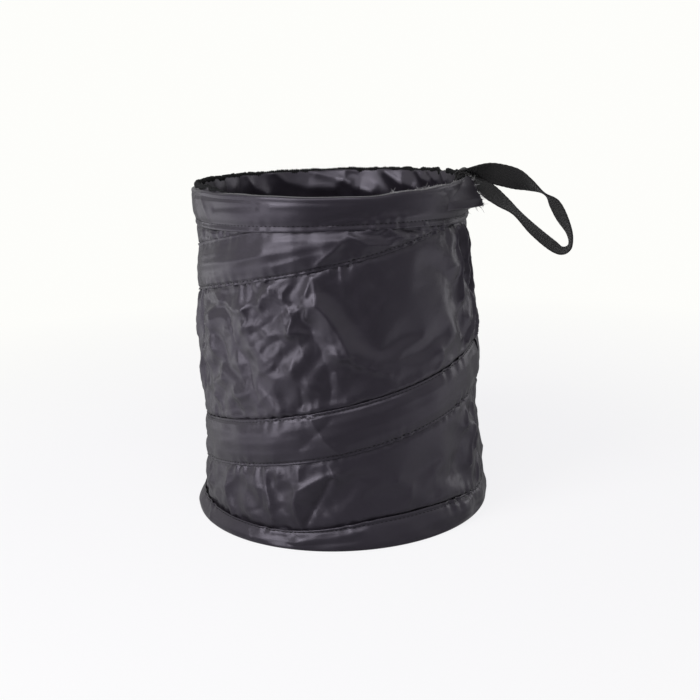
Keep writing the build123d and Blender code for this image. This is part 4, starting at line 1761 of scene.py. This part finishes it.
STRAP_ROUTE = (
    (2.6, 0.9, 2.8, 6.0), (5.8, -2.0, 2.2, 24.0), (10.6, -6.6, 1.0, 34.0), (16.9, -12.2, -0.6, 24.0),
    (24.5, -18.2, -2.0, 8.0), (34.1, -27.8, -2.8, 16.0), (44.2, -36.4, -1.6, 18.0), (50.3, -39.6, -0.6, 10.0),
    (54.4, -37.0, 0.4, 6.0), (53.8, -30.0, 1.2, 16.0), (49.4, -21.3, 2.0, 32.0), (45.0, -13.6, 2.6, 30.0),
    (39.6, -8.2, 3.0, 6.0), (31.5, -3.4, 3.4, 34.0), (22.3, 0.5, 3.8, 70.0), (12.6, 3.2, 4.0, 70.0),
    (4.6, 4.8, 3.6, 36.0),
)


@dataclass
class Strap(Piece):
    """Webbing loop, both ends sewn inside the rim at the side seam.

    Attributes:
        width: width of the webbing.
        thickness: thickness of the webbing.
        samples: samples along the loop and across each face.
        face: radius of the top band's outer face, from which the route is measured.
        inside: distance from the face in to the edging's inner side.
        tail: length of the sewn ends below the rim.
        behind: distance of the sewn ends behind the side seam.
        ribs: ribs across the webbing.
    """

    width: float = 13.0
    thickness: float = 1.2
    samples: tuple[int, int] = (420, 40)
    face: float = 83.06
    inside: float = -4.6
    tail: float = 14.0
    behind: float = 3.0
    ribs: int = 11

    def stations(self) -> Array:
        """Route from the outer sewn end to the inner one, as (out, up, along, turn), drawn in with the rim.

        Returns:
            Stations, (n, 4).
        """
        rows = []
        for layer in (0, 1):
            reach = 0.9 + layer * 1.5
            rows.append([
                (self.inside - reach, -self.tail, self.behind, 0),
                (self.inside - reach, -self.tail / 2, self.behind, 0),
                (self.inside - reach, 1.6, self.behind, 0),
                (self.inside - 0.7 * reach, 3.2 + 0.7 * reach, self.behind, 0),
                (-2.6, 3.6 + reach, self.behind, 0),
            ])
        rows[0].append((-0.2, 3.2, self.behind, 0))
        route = np.array(rows[0] + list(STRAP_ROUTE) + rows[1][::-1], float)
        drawn = FORM.stray(np.zeros(1), np.full(1, FORM.height))[0]
        route[:, 0] += drawn * smooth(22.0, 2.0, route[:, 0])
        return route

    def build(self) -> None:
        """Make the loop: a ribbed, round-edged section carried along the route and turned with it."""
        nu, nv = self.samples
        stations = self.stations()
        dense = catmull(stations, np.linspace(0, len(stations) - 1, 2000))
        steps = np.linalg.norm(np.diff(dense[:, :3], axis=0), axis=1)
        length = np.concatenate([[0.0], np.cumsum(steps)])
        even = np.linspace(0, length[-1], nu)
        out, up, along, turn = (np.interp(even, length, dense[:, k]) for k in range(4))
        way = np.radians(FORM.seam_angle)
        out_dir = np.array([np.cos(way), np.sin(way), 0.0])
        along_dir = np.array([-np.sin(way), np.cos(way), 0.0])
        up_dir = np.array([0.0, 0.0, 1.0])
        path = np.outer(self.face + out, out_dir) + np.outer(along, along_dir)
        path = path + np.outer(FORM.height + up, up_dir)
        forward = np.gradient(path, axis=0)
        forward /= np.linalg.norm(forward, axis=1, keepdims=True)
        level = along_dir - forward * (forward @ along_dir)[:, None]
        level /= np.linalg.norm(level, axis=1, keepdims=True)
        normal = np.cross(forward, level)
        angle = np.radians(turn)[:, None]
        across = np.cos(angle) * level + np.sin(angle) * normal
        outward = np.cross(forward, across)
        share = np.linspace(-1, 1, nv)
        edge = np.sqrt(np.clip(1 - np.abs(share) ** 14, 0, 1))
        rib = 0.10 * np.cos(np.pi * self.ribs * share) * edge
        half = self.thickness / 2 * (0.45 + 0.55 * edge)
        side = np.concatenate([share, share[::-1]]) * self.width / 2
        face = np.concatenate([half + rib, -(half + rib)[::-1]])
        fray = 1.0 + 0.012 * np.sin(even * 2.1)[:, None]
        points = path[:, None] + across[:, None] * (side * fray)[..., None]
        points = points + outward[:, None] * face[None, :, None]
        uv = np.stack(np.broadcast_arrays(even[:, None], side[None, :]), axis=-1)
        piece = MeshKit().add_tube(points[:, ::-1], uv[:, ::-1]).build("strap_webbing", self.finishes.webbing)
        finish_piece(piece, Body.RIM, Slot.WEBBING, "strap")


@dataclass
class Wires(Piece):
    """Flat spring wires: the spiral and the top hoop follow the slack cloth, the bottom hoop stays as it is.

    Attributes:
        width: width of the wire.
        thickness: thickness of the wire.
        gap: distance of the spiral from the wall.
        ends: lowest and highest place of the spiral.
        hoop_gap: distance of the top hoop from the wall.
        sleeve: first and last angle of the sleeve that closes the top hoop.
        grown: how far the sleeve stands out from the wire on each side.
        samples: samples along the spiral, the top hoop and its sleeve.
    """

    width: float = 2.2
    thickness: float = 0.9
    gap: float = 0.3
    ends: tuple[float, float] = (3.0, 188.6)
    hoop_gap: float = 0.8
    sleeve: tuple[float, float] = (160.0, 169.7)
    grown: float = 0.5
    samples: tuple[int, int, int] = (700, 480, 12)

    def section(self, angle: Array, radius: Array, z: Array, grown: float = 0.0) -> Array:
        """Rectangular wire sections along a line round the bin.

        Args:
            angle: degrees past the seam.
            radius: distance of the wire's inner face from the bin's axis.
            z: height of its middle in millimetres.
            grown: how far each side stands out from the wire.

        Returns:
            Places, (n, 8, 3).
        """
        out = np.array([0.5, 1.0, 1.0, 1.0, 0.5, 0.0, 0.0, 0.0]) * (self.thickness + 2 * grown) - grown
        up = np.array([-0.5, -0.5, 0.0, 0.5, 0.5, 0.5, 0.0, -0.5]) * (self.width + 2 * grown)
        return FORM.place(angle[:, None], radius[:, None] + out, z[:, None] + up)

    def on_rim(self, angle: Array, grown: float = 0.0) -> Array:
        """Sections along the top hoop, grown on each side."""
        z = FORM.hoop_z - FORM.rim_sag(angle)
        return self.section(angle, FORM.wall(angle, z) + self.hoop_gap, z, grown)

    def build(self) -> None:
        """Make the spiral and the top hoop with its sleeve, and dress the nodes that stay."""
        climbing, around, short = self.samples
        angle = FORM.spiral_start + np.linspace(0, TURN * FORM.spiral_turns, climbing)
        turn = (angle >= TURN).astype(float)
        local = angle - TURN * turn
        z = np.where(turn > 0, FORM.spiral(local, Turn.UPPER), FORM.spiral(local, Turn.LOWER))
        z = np.clip(z, *self.ends)
        kit = MeshKit().add_tube(self.section(local, FORM.wall(local, z) + self.gap, z))
        spiral = kit.build("spiral_spring", self.finishes.steel)
        finish_piece(spiral, Body.BASE, Slot.STEEL, "spiral_wire")
        squash(spiral)
        kit = MeshKit().add_grid(self.on_rim(np.arange(around) * TURN / around), True, True)
        hoop = kit.build("top_hoop_wire", self.finishes.steel)
        finish_piece(hoop, Body.RIM, Slot.STEEL, "top_hoop")
        kit = MeshKit().add_tube(self.on_rim(np.linspace(*self.sleeve, short), self.grown))
        sleeve = kit.build("top_hoop_crimp", self.finishes.sleeve)
        finish_piece(sleeve, Body.RIM, Slot.SLEEVE, "top_hoop_sleeve")
        stay = {"bottom_hoop": self.finishes.steel, "bottom_hoop_sleeve": self.finishes.sleeve}
        for name, material in stay.items():
            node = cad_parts[name]
            node.data.materials.clear()
            node.data.materials.append(material)


@dataclass
class Stitches(Piece):
    """Rows of machine stitches along the bands and casing strips.

    Attributes:
        pitch: distance from one stitch to the next.
        length: length of a stitch.
        radius: radius of the thread.
        across: place of a strip's row, from 0 at its middle to 1 at its edge.
        samples: samples along a row.
    """

    pitch: float = 2.6
    length: float = 2.0
    radius: float = 0.17
    across: float = 0.89
    samples: int = 1600

    def add_row(self, kit: MeshKit, line: Array) -> None:
        """Add a row of stitches along a line: short spindles that dip into the cloth at both ends.

        Args:
            kit: where the stitches go.
            line: fine points along the row, (n, 3).
        """
        normal = self.radial(line)
        steps = np.linalg.norm(np.diff(line, axis=0), axis=1)
        length = np.concatenate([[0.0], np.cumsum(steps)])
        middles = np.arange(self.pitch / 2, length[-1] - self.pitch / 2, self.pitch)
        share = np.linspace(-1, 1, 5)
        at = middles[:, None] + share * self.length / 2
        core = np.stack([np.interp(at, length, line[:, k]) for k in range(3)], axis=-1)
        out = np.stack([np.interp(at, length, normal[:, k]) for k in range(3)], axis=-1)
        along = np.gradient(core, axis=1)
        along /= np.linalg.norm(along, axis=2, keepdims=True)
        side = np.cross(along, out)
        about = np.arange(6) * 2 * np.pi / 6
        girth = self.radius * np.sqrt(np.clip(1.02 - share**2, 0, 1))
        lift = self.radius * (0.9 - 1.6 * share**2)
        ring = (
            (core + out * lift[None, :, None])[:, :, None]
            + side[:, :, None] * (np.cos(about)[None, None, :] * girth[None, :, None])[..., None]
            + out[:, :, None] * (np.sin(about)[None, None, :] * girth[None, :, None])[..., None]
        )
        kit.add_spindles(ring)

    def radial(self, line: Array) -> Array:
        """Way straight out from the bin's axis at each point of a line."""
        out = line * np.array([1.0, 1.0, 0.0])
        return out / np.linalg.norm(out, axis=1, keepdims=True)

    def build(self, casings: Sequence[CasingStrip], top: TopBand, bottom: BottomBand) -> None:
        """Make the stitches of the base body and those of the rim body.

        Args:
            casings: the casing strips.
            top: the top band.
            bottom: the bottom band.
        """
        moving = MeshKit()
        for casing in casings:
            first, last = casing.span()
            angle = np.linspace(first, last, self.samples)
            rows = (-self.across,) if casing.turn is Turn.UPPER else (-self.across, self.across)
            for across in rows:
                shown = FORM.spiral(angle, casing.turn) + across * FORM.casing_half
                keep = (shown > FORM.hem_edge(angle) + 0.6) & (shown < FORM.band_edge(angle) - 0.8)
                line = casing.surface(angle[keep], np.full(keep.sum(), across), 0.05)
                self.add_row(moving, line)
        wall_rows = moving.build("casing_stitches", self.finishes.thread)
        finish_piece(wall_rows, Body.BASE, Slot.THREAD)
        squash(wall_rows)
        angle = np.linspace(0.5, TURN - 0.5, self.samples)
        for name, body, band in (("rim_stitches", Body.RIM, top), ("hem_stitches", Body.BASE, bottom)):
            kit = MeshKit()
            share = band.stitched / len(band.profile)
            self.add_row(kit, band.surface(angle, np.full_like(angle, share)))
            finish_piece(kit.build(name, self.finishes.thread), body, Slot.THREAD)


PALE = (0.985, 0.98, 1.0)
WHITE = (0.985, 0.985, 0.96)

# Soft boxes: name, place in metres, width and height in metres, and how bright the face is, where 1 is white.
LAMPS = (
    ("left soft box", (-0.66, -0.62, 0.4), (0.4, 0.8), 4.2),
    ("left spot box", (-0.49, -0.43, 0.72), (0.32, 0.32), 6.0),
    ("right soft box", (0.8, 0.28, 0.25), (0.35, 0.6), 1.3),
    ("top soft box", (0.0, -0.75, 1.1), (0.9, 0.7), 2.6),
)


def aim(thing: bpy.types.Object, axes: Sequence[Array], place: Sequence[float]) -> None:
    """Set an object's axes and place, and link it to the scene.

    Args:
        thing: the camera or lamp.
        axes: its three axes.
        place: where it stands, in metres.
    """
    matrix = np.eye(4)
    matrix[:3, :3] = np.stack(axes, axis=1)
    matrix[:3, 3] = place
    thing.matrix_world = Matrix(matrix.tolist())
    bpy.context.scene.collection.objects.link(thing)


@dataclass
class Studio:
    """Pale floor, soft lamps and the camera.

    Attributes:
        focal_px: focal length in pixels of the square picture.
        centre_px: picture point of the camera's axis.
        picture_px: side of the picture.
        distance: distance from the target.
        target_z: height of the target on the bin's axis.
        elevation: the camera's angle above the horizon.
        roll: the camera's turn about its axis.
        sensor: width of the camera's sensor.
        floor_half: half of the floor's side.
    """

    focal_px: float = 996.0
    centre_px: tuple[float, float] = (337.04, 343.63)
    picture_px: float = 700.0
    distance: float = 609.0
    target_z: float = 96.0
    elevation: float = 13.55
    roll: float = -1.83
    sensor: float = 36.0
    floor_half: float = 3000.0

    def camera(self) -> None:
        """Make the camera and set it as the scene's."""
        rise = np.radians(self.elevation)
        back = np.array([0.0, -np.cos(rise), np.sin(rise)])
        up = np.array([0.0, np.sin(rise), np.cos(rise)])
        right = np.array([1.0, 0.0, 0.0])
        turn = np.radians(self.roll)
        rolled_right = np.cos(turn) * right + np.sin(turn) * up
        rolled_up = np.cos(turn) * up - np.sin(turn) * right
        data = bpy.data.cameras.new("camera")
        data.sensor_width = self.sensor
        data.lens = self.sensor * self.focal_px / self.picture_px
        data.shift_x = 0.5 - self.centre_px[0] / self.picture_px
        data.shift_y = self.centre_px[1] / self.picture_px - 0.5
        camera = bpy.data.objects.new("camera", data)
        place = (np.array([0.0, 0.0, self.target_z]) + back * self.distance) * MM
        aim(camera, (rolled_right, rolled_up, back), place)
        bpy.context.scene.camera = camera

    def lamp(self, name: str, place: Sequence[float], size: Sequence[float], glow: float) -> None:
        """Add a soft box that faces the middle of the bin.

        Args:
            name: the lamp's name.
            place: where it stands, in metres.
            size: its width and height in metres.
            glow: how bright its face is, where 1 is white.
        """
        data = bpy.data.lights.new(name, "AREA")
        data.shape = "RECTANGLE"
        data.size, data.size_y = size
        data.energy = glow * np.pi * size[0] * size[1]
        lamp = bpy.data.objects.new(name, data)
        back = np.array(place) - np.array([0.0, 0.0, self.target_z * MM])
        back /= np.linalg.norm(back)
        side = np.cross([0.0, 0.0, 1.0], back)
        side /= np.linalg.norm(side)
        aim(lamp, (side, np.cross(back, side), back), place)

    def seen(self, book: NodeBook) -> tuple[Value, Value]:
        """What a ray comes from.

        Args:
            book: node tree of a material or world.

        Returns:
            1 for a ray from the camera, and 1 for a ray from a shine or through glass.
        """
        path = book.node("ShaderNodeLightPath")
        shine = book.value(path, "Is Glossy Ray") + book.value(path, "Is Transmission Ray")
        return book.value(path, "Is Camera Ray"), shine.clamped()

    def floor(self) -> None:
        """Make the pale floor, which shows near white, keeps a faint shadow and fades into the backdrop; in
        shines it glows as painted light, dim in front and bright at the sides.
        """
        book = NodeBook(bpy.data.materials.new("pale floor"))
        eye, shine = self.seen(book)
        bounce = book.node("ShaderNodeBsdfDiffuse", inputs={"Color": (0.8, 0.8, 0.82, 1.0)})
        shade = book.node("ShaderNodeBsdfDiffuse", inputs={"Color": (0.14, 0.14, 0.135, 1.0)})
        across, along, _ = book.parts("Object")
        sides = (across.size() - across) * 1.25
        sides = sides + (across * 2.5).clamped() * 0.58
        aside = (sides - (along + 0.14).size() * 2.0 + 0.12).clamped()
        # Painted light: seen in shines the floor glows, at 0.25 of white in front and 1.9 of white at the
        # sides.
        painted_glow_in_shines = book.blend(aside, book.glow(PALE, 0.25), book.glow(PALE, 1.9))
        table = book.node("ShaderNodeAddShader", inputs={0: shade, 1: book.glow(PALE, 0.84)})
        away = book.node("ShaderNodeVectorMath", {"operation": "LENGTH"}, {0: book.coordinates("Object")})
        far = (book.value(away, "Value") * 2.2 - 0.45).clamped()
        shown = book.blend(far, table, book.glow(WHITE, 1.0))
        pick = book.blend(eye, book.blend(shine, bounce, painted_glow_in_shines), shown)
        span = np.array([-self.floor_half, self.floor_half])
        x, y = np.meshgrid(span, span, indexing="ij")
        kit = MeshKit().add_grid(np.stack([x, y, np.zeros_like(x)], axis=-1), False, False)
        ground = kit.build("floor", book.finish(pick))

    def world(self) -> None:
        """Make the surround: white to the eye, bright at the sides in shines, and dim as a light."""
        book = NodeBook(bpy.data.worlds.new("surround"), "ShaderNodeOutputWorld")
        eye, shine = self.seen(book)
        across, along, up = book.parts("Generated")
        lifted = (up * 5.0 + 0.25).clamped()
        dim = book.glow((0.96, 0.97, 1.0), 0.25, "ShaderNodeBackground")
        white = book.glow(WHITE, 1.0, "ShaderNodeBackground")
        sideways = across.size() * 0.38 - across * 0.07
        sideways = sideways - along.size() * 0.25 + 0.45
        pick = book.blend((eye + shine * lifted * sideways).clamped(), dim, white)
        bpy.context.scene.world = book.finish(pick)

    def build(self) -> None:
        """Set the stage."""
        self.camera()
        self.floor()
        self.world()
        for lamp in LAMPS:
            self.lamp(*lamp)


def main() -> None:
    """Build every piece of the bin, then the studio."""
    logging.basicConfig(level=logging.INFO, format="%(message)s")
    bpy.context.scene.view_settings.view_transform = "Standard"
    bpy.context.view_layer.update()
    finishes = Finishes()
    WallPanel(finishes).build()
    casings = [CasingStrip(finishes, turn) for turn in Turn]
    for casing in casings:
        casing.build()
    top = TopBand(finishes)
    top.build()
    bottom = BottomBand(finishes)
    bottom.build()
    flap = TailFlap(finishes)
    flap.build()
    Frays(finishes).build(flap)
    BasePanel(finishes).build()
    RimEdging(finishes).build()
    Strap(finishes).build()
    Wires(finishes).build()
    Stitches(finishes).build(casings, top, bottom)
    Studio().build()


if __name__ == "__main__":
    main()
